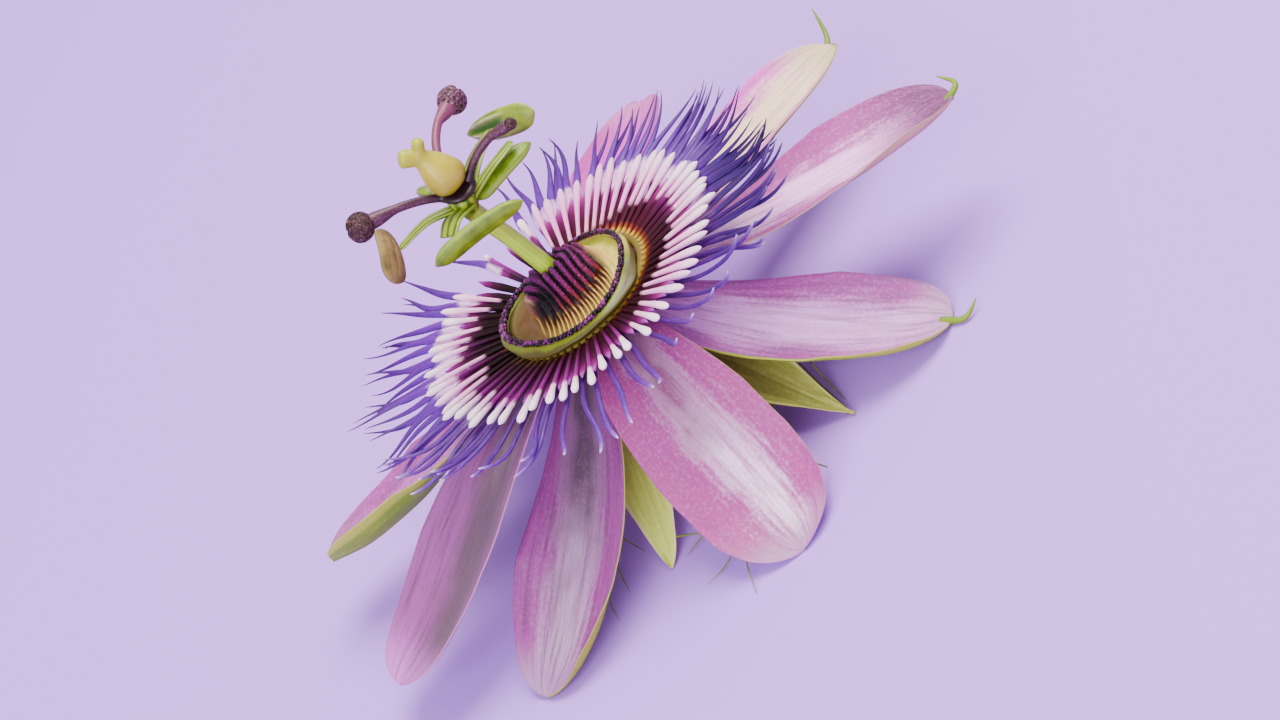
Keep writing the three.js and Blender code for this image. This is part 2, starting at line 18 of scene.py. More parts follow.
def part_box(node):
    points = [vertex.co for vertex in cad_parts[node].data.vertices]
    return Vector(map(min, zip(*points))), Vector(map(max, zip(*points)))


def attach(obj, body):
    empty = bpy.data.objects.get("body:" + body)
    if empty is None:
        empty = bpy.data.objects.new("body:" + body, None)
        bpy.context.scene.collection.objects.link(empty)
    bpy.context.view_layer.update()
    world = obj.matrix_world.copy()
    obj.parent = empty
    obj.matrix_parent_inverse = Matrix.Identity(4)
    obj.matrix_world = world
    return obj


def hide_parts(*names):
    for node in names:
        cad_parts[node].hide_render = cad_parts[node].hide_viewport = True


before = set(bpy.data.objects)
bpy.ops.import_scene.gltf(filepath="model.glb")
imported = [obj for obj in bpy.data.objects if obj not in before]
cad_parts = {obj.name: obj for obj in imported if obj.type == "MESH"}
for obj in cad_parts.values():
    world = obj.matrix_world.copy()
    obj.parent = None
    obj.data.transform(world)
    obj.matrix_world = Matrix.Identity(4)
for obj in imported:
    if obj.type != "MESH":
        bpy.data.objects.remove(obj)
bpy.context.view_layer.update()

# ---- places and sizes ----

MM = 0.001
UP = np.array([0.0, 0.0, 1.0])
RIGHT = np.array([1.0, 0.0, 0.0])
# The height of the surface that the flower lies on.
SURFACE = -22.0
# The clear distance from a strap to its anther, and from a style's last point to its stigma.
GAP = 0.3

# The operculum is even all round, so the middle of its box is on the axis of the flower.
axis_low, axis_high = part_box("operculum")
axis_middle = (axis_low + axis_high) / 2 / MM
ORIGIN = np.array([axis_middle.x, axis_middle.y, -SURFACE])

# The rim of the cup leans off the axis and swells in three soft lobes.
CUP = {"rim": 8.5, "height": 1.4, "flange": 0.8, "shift": -0.5, "forward": -0.4, "lobes": 0.45, "sides": 144}
# Its flange is narrower at the back right, out of a radius that stays as it is. The rim is cream there too,
# partly painted light where the light falls.
FLANGE = {"kept": 8.6, "narrowed": 0.9, "angle": 35, "lit_yellow_angle": 28}
# Radii and heights of the tube from its bottom up, and of its rim and cup from the flange in.
TUBE_PROFILE = [[2.6, -6.9], [4.6, -6.5], [7.2, -5.0], [8.4, -3.6], [8.4, 0.2]]
RIM_PROFILE = [
    [8.75, 0.52], [9.75, 0.6], [10.0, 0.84], [9.75, 1.16], [9.2, 1.42], [8.8, 1.66], [8.5, 1.72],
    [8.2, 1.56], [7.95, 0.7], [7.5, -0.8], [6.2, -1.8], [3.0, -1.9], [0.9, -1.9],
]
STALK = {"radius": 1.5, "start": [0.0, 0.0, -6.2], "bend": [0.2, 0.4, -12.0], "end": [2.0, 4.0, -18.8]}

# Filaments start at STRAND_START, in a ring. reach is the radius of their tips and spread
# how much it differs. sway, in degrees, and curl are how far they turn aside and up, and
# droop, meet and huddle how far they sink, close up in pairs and gather in bunches.
STRAND_START = 9.3
RING = {"radius": 9.25, "width": 0.5, "depth": 0.3, "around": 16, "sides": 120}
LONG = {
    "count": 60, "seed": 11, "root": -0.75, "reach": 30.4, "spread": 1.3, "sway": 9, "curl": 3.4,
    "droop": 2.6, "meet": 0.85, "huddle": 7,
}
LONG_SECTION = {"width": 0.95, "depth": 0.7, "steps": 30, "sides": 12}
# More long filaments, crowded over a stretch of azimuths and rooted a little lower.
EXTRA = {"count": 42, "from": 150, "over": 250, "lower": 0.15}
BUNCH = {"count": 12, "from": -22, "over": 70, "lower": 0.3}
CLUB = {"count": 60, "seed": 23, "root": 0.15, "reach": 20.6, "spread": 0.6, "neck": 0.62}
WEDGE = {"count": 60, "seed": 37, "root": -0.1, "reach": 18.2, "spread": 0.7, "width": 0.86}

# The azimuths between which the crown is sparse, at the back left.
SPARSE = [241, 277]

# Places round the flower, as a middle azimuth and a spread. The long filaments meet in
# pairs at the left, huddle at the right and droop at the front. The white of the clubs is
# uneven at the left, where the clubs are slim too, and where the knobs are pinker.
PAIRED = [205, 45]
HUDDLED = [18, 34]
DROOPING = [100, 26]
UNEVEN = [195, 32]
SLIM = [195, 34]
THINNED = [259, 13]

# By azimuth, where the white of a club begins as a share of its length: at the root at the
# back right, half way at the right and left, and near the tip at the front and where the
# crown is sparse.
WHITE_START = [
    [0, 0.55], [30, 0.4], [60, 0.25], [74, 0.45], [90, 0.66], [110, 0.72], [130, 0.7], [150, 0.64],
    [165, 0.56], [195, 0.5], [225, 0.44], [240, 0.2], [246, 0.84], [270, 0.84], [278, 0.2],
    [290, 0.02], [325, 0.3], [360, 0.55],
]
# By azimuth, how yellow the roots of the short filaments are.
ROOT_GLOW = [[0, 0.9], [40, 0.35], [100, 0.3], [140, 0], [250, 0], [290, 0.8], [330, 1], [360, 0.9]]

BEAD = {"height": 2.0, "core": 0.2, "spread": 0.17, "columns": 110, "rows": 5, "size": 0.24, "seed": 5}

# The membrane in the cup: radii and heights of its upper side, from its edge to its hole
# round the column, and of its underside. ridge is the width of a pleat on its dome.
OPERCULUM = {
    "hole": 1.55,
    "edge": 8.1,
    "profile": [
        [8.1, 1.5], [7.6, 1.0], [6.5, 1.3], [5.7, 2.1], [5.2, 3.1],
        [4.4, 4.3], [3.3, 5.2], [2.2, 5.6], [1.5, 5.1],
    ],
    "underside": [[1.55, -1.5], [6.6, -1.3], [7.4, 0.0], [7.95, 1.3]],
    "ridge": 0.98,
    "columns": 420,
}

COLUMN = {"radius": 1.12, "route": [[0, 0, -1.6], [0, 0, 4], [-0.9, -0.3, 11.5], [-2.08, -0.95, 18.15]]}
SLEEVE = {"route": [[-2.1, -1.0, 18.7], [-1.75, -1.5, 20.7]], "radius": 1.4, "top": 1.75}

# route: the filament, from the sleeve to the back of its anther
# along: the anther's long axis; back: from the anther to the filament; slide: its shift along
# strap: the width of the filament; shape: the width of the anther along its length
# open: how deep it has split open towards the filament; groove: how deep its seams are
STAMENS = [
    {
        "route": [[-2.3, -2.0, 19.4], [-4.4, -3.6, 20.1], [-6.0, -4.9, 19.6]],
        "along": [1, -0.22, 0], "back": [0, 0.85, 0.5], "length": 12.6, "slide": 3.3, "strap": 2.7,
        "groove": 0.25, "shape": [0.3, 0.8, 0.97, 1.0, 0.98, 0.86, 0.62, 0.16],
    },
    {
        "route": [[-2.9, -1.1, 19.6], [-6.6, -1.2, 21.0], [-10.9, -0.5, 20.5]],
        "along": [-0.3, -0.9, -0.2], "back": [0.9, -0.3, 0.2], "length": 9, "slide": -0.5,
        "strap": 1.5, "shape": [0.3, 0.74, 0.88, 0.96, 1.0, 1.0, 0.85, 0.3],
    },
    {
        "route": [[-1.2, -0.1, 19.7], [2.4, 1.9, 21.2], [6.0, 5.0, 20.9]],
        "along": [0.6, -0.8, 0.1], "back": [-0.5, -0.4, 0.3], "length": 12.4, "slide": -0.6,
        "strap": 2.2, "open": 0.55, "shape": [0.08, 0.34, 0.64, 0.92, 1.02, 1.0, 0.86, 0.3],
    },
    {
        "route": [[-0.8, -1.4, 19.6], [2.8, -2.2, 21.0], [6.6, -1.0, 21.1]],
        "along": [0.95, 0.05, 0.05], "back": [0.05, -0.1, 1], "length": 9, "slide": -3.0,
        "strap": 1.5, "shape": [0.3, 0.8, 0.95, 1.0, 0.95, 0.8, 0.5, 0.12],
    },
    {
        "route": [[-2.4, -0.1, 19.7], [-3.2, 2.6, 21.0], [-2.8, 6.6, 21.0]],
        "along": [-0.05, 0.87, -0.5], "back": [0.6, 0.3, 0.6], "length": 10, "slide": 3.9,
        "strap": 1.3, "shape": [0.3, 0.8, 0.97, 1.0, 0.98, 0.86, 0.62, 0.16],
    },
]
STRAP = {"thickness": 0.75}
ANTHER = {"width": 3.6, "thickness": 1.7, "bow": 2.2}

# lobes are the ends of the two parts of its head, from its neck.
OVARY = {
    "bottom": [-1.35, -2.2, 23.15], "neck": [-2.2, -2.2, 28.4], "width": 4.7,
    "lobes": [[1.15, -0.3, 1.75], [-2.0, 0.3, 1.15]], "lobe_sizes": [0.78, 1.12],
}
COLLAR = {"route": [[-1.6, -1.75, 21.25], [-1.4, -2.1, 22.3]], "radius": 2.3}
STYLES = [
    [[-1.0, -0.6, 22.0], [-0.5, 2.6, 24.4], [1.8, 6.1, 25.5], [3.35, 7.6, 25.3]],
    [[0.0, -2.6, 22.0], [2.4, -3.2, 23.8], [5.0, -4.0, 24.8], [6.9, -4.9, 24.9]],
    [[-3.0, -2.0, 21.9], [-5.1, -1.8, 23.5], [-7.9, -1.7, 25.0], [-10.4, -1.7, 25.8]],
]
STIGMA = {"radii": [1.85, 0.7, 1.85], "flatness": 0.95, "grains": 300}

# A blade follows a curve from its base azimuth to its tip.
# rise and drop: the slopes of the curve at its two ends; roll: its turn about its length
# fold: how far its edges stand up, as a share of its half width; wave: their ripple
# margin: the side, start and height of an edge that curls up; awn: two points past the tip
# middle, edge, base, end, vein and fleck: the colours of its face
# spread: where the edge colour begins and is full, as a share of the half width, plus 0.8
# for the noise that is added; streak: how far the pale middle lies to one side
# reach: where the colour of the base ends and is full, as a share of the length
# fade: where that of the tip begins and is full; band: side, start and width of a green edge
BLADE = {
    "start": 9.15, "growth": 1.7, "handle": 0.36, "thickness": 0.5, "steps": 110, "columns": 46,
    "crowding": 0.92,
}
USUAL = {
    "roll": 0, "wave": 0.4, "keel": 0.0, "margin": [1, 0.0, 0.0], "awn": None, "roundness": 3.2,
    "streak": 0.0, "reach": [0.62, 0.24], "fade": [0.86, 1.03], "band": [1, 2.0, 0.0],
}
# The heights at which the three rows of blades start.
LAYERS = [-1.35, -2.55, -3.75]
TEPALS = [
    {
        "name": "sepal_1", "azimuth": -33, "layer": 2, "tip": [43.6, 23.6, -11.4], "rise": -20,
        "drop": 8, "width": 12, "fold": 0.35, "roll": 10, "wave": 0.3,
        "awn": [[0.5, 2.0, 0.2], [1.6, 4.6, 3.0]], "spread": [1.08, 1.63], "middle": "#f6dcb4",
        "edge": "#e048cc", "base": "#fa98f0", "end": "#ccc088", "vein": "#b468a8",
        "fleck": "#fff0dc", "band": [-1, 0.68, 0.1],
    },
    {
        "name": "sepal_2", "azimuth": 5, "layer": 1, "tip": [47.2, -11.5, -7.8], "rise": -20,
        "drop": 2, "width": 14.5, "fold": 0.26, "wave": 0.3,
        "awn": [[1.2, 0.6, 0.4], [0.4, 3.6, 1.2]], "margin": [-1, 0.6, 0.6], "spread": [0.98, 1.53],
        "middle": "#ffb2f8", "edge": "#a02c8c", "base": "#ffe0fc", "end": "#64285a",
        "vein": "#9a3c90", "fleck": "#fcd0f6", "band": [-1, 0.62, 0.06], "back": "mauve",
        "fade": [0.68, 0.98], "streak": -0.16,
    },
    {
        "name": "sepal_3", "azimuth": 47, "layer": 2, "tip": [29.6, -24.6, -21.6], "rise": -38,
        "drop": 10, "width": 16, "fold": 0.24, "roll": -4, "wave": 0.3,
        "awn": [[1.0, -2.0, 0.1], [3.4, -1.6, 0.8]], "margin": [-1, 0.2, 0.5],
        "spread": [0.96, 1.56], "middle": "#d894da", "edge": "#a03890", "base": "#d88cd2",
        "end": "#b888b4", "vein": "#70407c", "fleck": "#f4d4f4", "band": [-1, 0.15, 0.06],
    },
    {
        "name": "petal_1", "azimuth": 91, "layer": 0, "tip": [-0.3, -38.5, -21.6], "rise": -9,
        "drop": 10, "width": 16.2, "fold": 0.16, "spread": [0.77, 1.33], "middle": "#f6d0f4",
        "edge": "#a03080", "base": "#74345a", "end": "#a87aa4", "vein": "#86307c",
        "fleck": "#f4c0ea", "streak": 0.12, "reach": [0.95, 0.5],
    },
    # sepal_4: its face is darker than the other sepals', and darkest at its base, as painted shade on a
    # blade that slopes away from the light.
    {
        "name": "sepal_4", "azimuth": 128, "layer": 2, "tip": [-33.4, -24.9, -21.6], "rise": -26,
        "drop": 14, "width": 16.5, "fold": 0.24, "roll": -6, "margin": [1, 0.55, 0.7],
        "spread": [0.91, 1.46], "middle": "#ac84aa", "edge": "#8c2e80", "base": "#4b3444",
        "end": "#a070a4", "vein": "#50284e", "fleck": "#b890b8", "band": [1, 0.66, 0.13],
        "streak": -0.02, "reach": [1.0, 0.45], "roundness": 2.3,
    },
    # petal_2: its face colours are far darker than those of the other petals, painted shade on a blade that
    # slopes away from the light.
    {
        "name": "petal_2", "azimuth": 162, "layer": 0, "tip": [-45.7, -9.7, -16.0], "rise": -6,
        "drop": 6, "width": 16.5, "fold": 0.2, "spread": [0.96, 1.51], "middle": "#5c3e54",
        "edge": "#8c4086", "base": "#866672", "end": "#bc60be", "vein": "#482a48",
        "fleck": "#986c90", "streak": 0.36, "roundness": 4.2,
    },
    {
        "name": "sepal_5", "azimuth": 204, "layer": 1, "tip": [-43.4, 18.8, -13.4], "rise": -18,
        "drop": -6, "width": 13, "fold": 0.5, "roll": 20, "wave": 0.3, "spread": [1.01, 1.66],
        "middle": "#cc74c4", "edge": "#a04094", "base": "#a8609c", "end": "#904c88",
        "vein": "#7a3c78", "fleck": "#ecc0e8",
    },
    {
        "name": "petal_3", "azimuth": 238, "layer": 0, "tip": [-18.5, 32.0, -21.6], "rise": -12,
        "drop": 30, "width": 14, "fold": 0.2, "spread": [0.96, 1.66], "middle": "#f0c4ec",
        "edge": "#9c2f80", "base": "#a8609c", "end": "#b884b4", "vein": "#86307c",
        "fleck": "#fce4fa",
    },
    {
        "name": "petal_4", "azimuth": 268, "layer": 2, "tip": [-1.3, 37.0, -21.6], "rise": -24,
        "drop": 26, "width": 14, "fold": 0.2, "spread": [0.96, 1.66], "middle": "#e0a8dc",
        "edge": "#9c2f80", "base": "#a8609c", "end": "#b884b4", "vein": "#86307c",
        "fleck": "#fce4fa",
    },
    {
        "name": "petal_5", "azimuth": 299, "layer": 0, "tip": [22.4, 43.4, -9.4], "rise": -10,
        "drop": 6, "width": 13.5, "fold": 0.3, "roundness": 2.2, "spread": [0.96, 1.66],
        "middle": "#dc3ccc", "edge": "#b82c9c", "base": "#e464dc", "end": "#c468b0",
        "vein": "#a03098", "fleck": "#fc90f0",
    },
]
# An awn starts under the tip of its sepal, inset from it and below it.
AWN = {"inset": 1.6, "below": 0.72, "radii": [0.5, 0.42, 0.34, 0.24, 0.06]}

BRACTS = [
    {
        "name": "bract_1", "azimuth": 128, "tip": [-13.1, -22.7, -21.6], "height": -8.4, "rise": -6,
        "drop": 20, "width": 8.5, "blunt": 0.75, "face": "#e0ea70", "deep": "#bccb50",
        "rim": "#e8e098",
    },
    {
        "name": "bract_2", "azimuth": 50, "tip": [14.1, -25.1, -21.6], "height": -9.6, "rise": -6,
        "drop": 20, "width": 9.5, "blunt": 1.15, "face": "#c8cc60", "deep": "#8c9438",
        "rim": "#d8e070",
    },
    # bract_3: its darker green is partly painted shade on the side that is seen.
    {
        "name": "bract_3", "azimuth": 84, "tip": [5.6, -21.0, -21.6], "height": -11.2, "rise": -45,
        "drop": 6, "width": 14, "blunt": 0.8, "face": "#5f8d18", "deep": "#44700c",
        "rim": "#90b040",
    },
]

# Each hair: its root under a bract, petal or sepal, two points on its way and its tip.
HAIRS = [
    [[-10.4, -20.9, -20.1], [-7.9, -23.4, -20.8], [-9.4, -23.1, -21.3], [-10.9, -22.9, -21.8]],
    [[-6.1, -31.6, -18.2], [-6.7, -30.6, -20.6], [-8.7, -30.8, -21.3], [-11.2, -30.2, -21.8]],
    [[-5.7, -33.2, -19.2], [-6.0, -32.8, -20.6], [-7.0, -35.5, -21.3], [-7.8, -38.3, -21.8]],
    [[-8.8, -14.7, -17.0], [-8.8, -14.7, -20.6], [-9.5, -15.8, -21.3], [-10.4, -16.0, -21.8]],
    [[-15.5, -11.8, -10.5], [-15.5, -11.8, -19.6], [-14.8, -13.6, -21.3], [-14.3, -16.0, -21.8]],
    [[-17.4, -14.9, -12.8], [-17.4, -14.9, -19.8], [-18.2, -17.6, -21.3], [-18.6, -20.1, -21.8]],
    [[-22.2, -19.4, -17.5], [-20.5, -19.0, -20.2], [-21.3, -20.8, -21.3], [-21.6, -23.2, -21.8]],
    [[6.1, -31.4, -18.4], [6.9, -31.0, -19.4], [7.5, -31.1, -20.6], [7.4, -29.6, -21.4]],
    [[13.6, -13.5, -12.8], [13.6, -13.5, -19.6], [13.7, -20.5, -21.3], [13.9, -25.2, -21.8]],
    [[14.5, -16.1, -14.1], [14.5, -16.1, -19.8], [14.4, -18.8, -21.3], [14.4, -21.4, -21.8]],
]

# ---- curves ----


def polar(radius, azimuth, height):
    angle = math.radians(azimuth)
    return np.array([radius * math.cos(angle), -radius * math.sin(angle), height])


def unit(vectors):
    vectors = np.asarray(vectors, float)
    return vectors / np.linalg.norm(vectors, axis=-1, keepdims=True)


def draws(seed):
    """Repeatable numbers from 0 to 1, made in the same way as those that the solids draw."""
    state = seed
    while True:
        state = (state * 1664525 + 1013904223) % 4294967296
        yield state / 4294967296


def curve_through(points, steps):
    """steps + 1 points on a centripetal Catmull-Rom curve through the given ones."""
    given = np.array(points, float)
    ends = [2 * given[0] - given[1], *given, 2 * given[-1] - given[-2]]
    made = []
    for step in range(steps + 1):
        place = step / steps * (len(given) - 1)
        part = min(int(place), len(given) - 2)
        share = place - part
        before, start, end, after = ends[part:part + 4]
        spans = zip(ends[part:], ends[part + 1:part + 4])
        first, middle, last = (math.sqrt(np.linalg.norm(far - near)) for near, far in spans)
        leave = (start - before) / first - (end - before) / (first + middle) + (end - start) / middle
        arrive = (end - start) / middle - (after - start) / (middle + last) + (after - end) / last
        leave, arrive = leave * middle, arrive * middle
        square = 3 * (end - start) - 2 * leave - arrive
        cube = 2 * (start - end) + leave + arrive
        made.append(start + leave * share + square * share**2 + cube * share**3)
    return np.array(made)


def smooth(value, low, high):
    """0 up to low, 1 past high, and an even turn between them."""
    share = np.clip((value - low) / (high - low), 0, 1)
    return share * share * (3 - 2 * share)


def bell(value, middle, spread):
    return np.exp(-(((value - middle) / spread) ** 2))


def waves(first, second, seed):
    """A soft, repeatable unevenness from -1 to 1 over two coordinates."""
    draw = draws(seed)
    total = 0
    for octave in (1.0, 1.7, 2.9, 4.6):
        turn, shift = next(draw) * 2 * math.pi, next(draw) * 2 * math.pi
        slope = first * math.cos(turn) + second * math.sin(turn)
        total = total + np.sin(slope * octave + shift) / octave
    return total / 2.2


# ---- meshes ----


class Body:
    """The points and faces of one piece, with the guides that its paint follows: run is
    how far along and across its own length a point lies, and tint tells its strands apart."""

    def __init__(self):
        self.points, self.faces, self.run, self.tint, self.finish = [], [], [], [], []
        self.count = 0

    def add(self, points, faces, run, tint=(0.0, 0.0), finish=0):
        points = np.asarray(points, float).reshape(-1, 3)
        self.faces += [tuple(corner + self.count for corner in face) for face in faces]
        self.finish += [finish] * len(faces)
        self.points.append(points)
        self.run.append(np.asarray(run, float).reshape(-1, 2))
        self.tint.append(np.broadcast_to(np.asarray(tint, float), (len(points), 2)))
        self.count += len(points)

    def build(self, name, materials):
        mesh = bpy.data.meshes.new(name)
        points = (np.concatenate(self.points) + ORIGIN) * MM
        mesh.from_pydata(points.tolist(), [], self.faces)
        corners = np.zeros(len(mesh.loops), int)
        mesh.loops.foreach_get("vertex_index", corners)
        for title, guide in (("run", self.run), ("tint", self.tint)):
            layer = mesh.uv_layers.new(name=title)
            layer.data.foreach_set("uv", np.concatenate(guide)[corners].astype(np.float32).ravel())
        for material in materials:
            mesh.materials.append(material)
        mesh.polygons.foreach_set("material_index", self.finish)
        mesh.polygons.foreach_set("use_smooth", [True] * len(mesh.polygons))
        mesh.update()
        piece = bpy.data.objects.new(name, mesh)
        bpy.context.scene.collection.objects.link(piece)
        return piece


def grid(rows, columns, closed=False):
    """Four-cornered faces between rows of points. closed joins the last column to the first."""
    row, column = np.meshgrid(np.arange(rows - 1), np.arange(columns - (not closed)), indexing="ij")
    here = row * columns + column
    beside = row * columns + (column + 1) % columns
    return np.stack([here, beside, beside + columns, here + columns], -1).reshape(-1, 4).tolist()


def limb(path, widths, depths, sides, hint, ribs=0, rib_depth=0.0):
    """A limb of elliptical section along a path, closed at both ends. widths and depths are
    half sizes, hint is the way that the width faces, and ribs run along it."""
    path = np.asarray(path, float)
    ahead = unit(np.gradient(path, axis=0))
    side = unit(hint - (ahead @ hint)[:, None] * ahead)
    normal = np.cross(ahead, side)
    angle = np.arange(sides) / sides * 2 * math.pi + math.pi / 2
    bulge = 1 + rib_depth * np.cos(ribs * angle) if ribs else np.ones(sides)
    out = np.asarray(widths)[:, None, None] * (np.cos(angle) * bulge)[None, :, None] * side[:, None]
    out = out + np.asarray(depths)[:, None, None] * (np.sin(angle) * bulge)[None, :, None] * normal[:, None]
    points = (path[:, None] + out).reshape(-1, 3)
    faces = grid(len(path), sides, closed=True)
    ends = len(points)
    last = ends - sides
    faces += [(ends, (corner + 1) % sides, corner) for corner in range(sides)]
    faces += [(ends + 1, last + corner, last + (corner + 1) % sides) for corner in range(sides)]
    lengths = np.cumsum(np.linalg.norm(np.diff(path, axis=0), axis=1))
    share = np.concatenate([[0], lengths / lengths[-1]])
    across = np.abs((angle / math.pi) % 2 - 1)
    run = np.stack(np.meshgrid(share, across, indexing="ij"), -1).reshape(-1, 2)
    return np.concatenate([points, path[[0, -1]]]), faces, np.concatenate([run, [[0, 0.5], [1, 0.5]]])


def turned(profile, sides):
    """Rings of points round the axis, one for each radius and height of the profile."""
    angle = np.arange(sides) / sides * 2 * math.pi
    profile = np.asarray(profile, float)
    flat = np.stack([np.cos(angle), np.sin(angle)], -1) * profile[:, :1, None]
    return np.concatenate([flat, np.broadcast_to(profile[:, 1, None, None], (*flat.shape[:2], 1))], -1)


def leaned(points, share):
    """Points of the rim, moved by the share of its lean and its lobes that they have."""
    radius = np.hypot(points[..., 0], points[..., 1])
    lobes = -np.sin(3 * np.arctan2(-points[..., 1], points[..., 0])) * CUP["lobes"]
    grown = (share * lobes / radius)[..., None] * points * [1, 1, 0]
    return points + grown + np.multiply.outer(share, [CUP["shift"], CUP["forward"], 0])


@functools.lru_cache(maxsize=None)
def ball(level):
    """The points and faces of a round ball of radius 1."""
    mesh = bmesh.new()
    bmesh.ops.create_icosphere(mesh, subdivisions=level, radius=1.0)
    points = np.array([vertex.co for vertex in mesh.verts])
    faces = [tuple(vertex.index for vertex in face.verts) for face in mesh.faces]
    mesh.free()
    return points, faces


def melted(piece, voxel, rounds):
    """The parts of a piece grown into one skin, with their joints smoothed."""
    remesh = piece.modifiers.new("skin", "REMESH")
    remesh.mode = "VOXEL"
    remesh.voxel_size = voxel * MM
    ease = piece.modifiers.new("ease", "SMOOTH")
    ease.factor = 0.5
    ease.iterations = rounds
    seen = piece.evaluated_get(bpy.context.evaluated_depsgraph_get())
    mesh = bpy.data.meshes.new_from_object(seen)
    materials = list(piece.data.materials)
    piece.modifiers.clear()
    piece.data = mesh
    mesh.materials.clear()
    for material in materials:
        mesh.materials.append(material)
    mesh.polygons.foreach_set("use_smooth", [True] * len(mesh.polygons))
    return piece


# ---- finishes ----

# Living tissue is mostly water in thin cells, so its IOR lies between water and cellulose.
# The cells are 0.03 to 0.06 mm across, too fine to show. A grain of 0.2 to 0.7 mm, coarser
# than real, stands for them on most skins.
TISSUE_IOR = 1.42
EASED = {"interpolation_type": "SMOOTHSTEP"}


def paint(colour):
    """An sRGB hex colour as linear red, green, blue and alpha."""
    channels = [int(colour[place:place + 2], 16) / 255 for place in (1, 3, 5)]
    return [c / 12.92 if c <= 0.04045 else ((c + 0.055) / 1.055) ** 2.4 for c in channels] + [1.0]


def node(tree, kind, sockets=(), stops=(), **settings):
    """Adds a shader node with its settings. sockets are values, or nodes and sockets to
    link, by name or in the order of its inputs, and stops are the colours of a ramp."""
    made = tree.nodes.new("ShaderNode" + kind)
    for name, value in settings.items():
        setattr(made, name, value)
    usable = [socket for socket in made.inputs if socket.enabled]
    named = sockets.items() if isinstance(sockets, dict) else enumerate(sockets)
    for key, value in named:
        socket = usable[key] if isinstance(key, int) else next(s for s in usable if s.name == key)
        if isinstance(value, bpy.types.Node):
            value = next(s for s in value.outputs if s.enabled)
        if isinstance(value, bpy.types.NodeSocket):
            tree.links.new(value, socket)
        else:
            socket.default_value = paint(value) if isinstance(value, str) else value
    if stops:
        elements = made.color_ramp.elements
        while len(elements) < len(stops):
            elements.new(1.0)
        for element, (place, colour) in zip(elements, stops):
            element.position = place
            element.color = paint(colour)
    return made


def tissue(name, roughness, **sockets):
    """A material for living tissue, its shader, and what adds nodes to it. The sockets are
    the shader's own values, with _ for a space."""
    material = bpy.data.materials.new(name)
    material.use_nodes = True
    shader = material.node_tree.nodes["Principled BSDF"]
    shader.inputs["IOR"].default_value = TISSUE_IOR
    shader.inputs["Roughness"].default_value = roughness
    for key, value in sockets.items():
        shader.inputs[key.replace("_", " ")].default_value = value
    return material, shader, functools.partial(node, material.node_tree)


def plug(shader, socket, source):
    output = next(s for s in source.outputs if s.enabled)
    shader.id_data.links.new(output, shader.inputs[socket])


def guides(add):
    """The along and across guides and the two tints of a point, and its place."""
    run = add("SeparateXYZ", [add("UVMap", uv_map="run")])
    tint = add("SeparateXYZ", [add("UVMap", uv_map="tint")])
    place = add("TexCoord").outputs["Object"]
    return run.outputs[0], run.outputs[1], tint.outputs[0], tint.outputs[1], place


def laid(add, ground, colour, value, low, high, most=1.0, **settings):
    """A colour laid over the ground, from not at all where a value is low to most of it
    where the value is high."""
    limits = {"Value": value, "From Min": low, "From Max": high, "To Max": most}
    return add("Mix", [add("MapRange", limits, **settings), ground, colour], data_type="RGBA")


def frayed(add, noise, amount, value):
    """A value with a noise added evenly to both sides, so that what it borders is ragged."""
    centred = add("Math", [noise, -0.5], operation="ADD")
    return add("Math", [centred, amount, value], operation="MULTIPLY_ADD")


def off_middle(add, across, lean=0.0):
    """How far a point lies from the middle line of a blade: 0 on it and 1 at the edges."""
    doubled = add("Math", [across, 2.0, -1.0 - lean], operation="MULTIPLY_ADD")
    return add("Math", [doubled], operation="ABSOLUTE")


def stretched(add, flat, size, detail, roughness):
    """A noise with patches of a given length and width along a blade."""
    scaled = add("VectorMath", [flat, (1 / size[0], 1 / size[1], 1.0)], operation="MULTIPLY")
    return add("TexNoise", {"Vector": scaled, "Scale": 1.0, "Detail": detail, "Roughness": roughness})


def dress(shader, add, colour, relief, strength, depth):
    """Gives a shader its colour, and a relief of a depth in mm."""
    plug(shader, "Base Color", colour)
    plug(shader, "Normal", add("Bump", {"Height": relief, "Strength": strength, "Distance": depth * MM}))


# Patterns on a petal, as a length and a width in mm.
PETAL_LENGTH = 42.0
FOLD = [14.0, 1.1]
VEIN = [3.2, 0.28]
CELL = [0.6, 0.45]


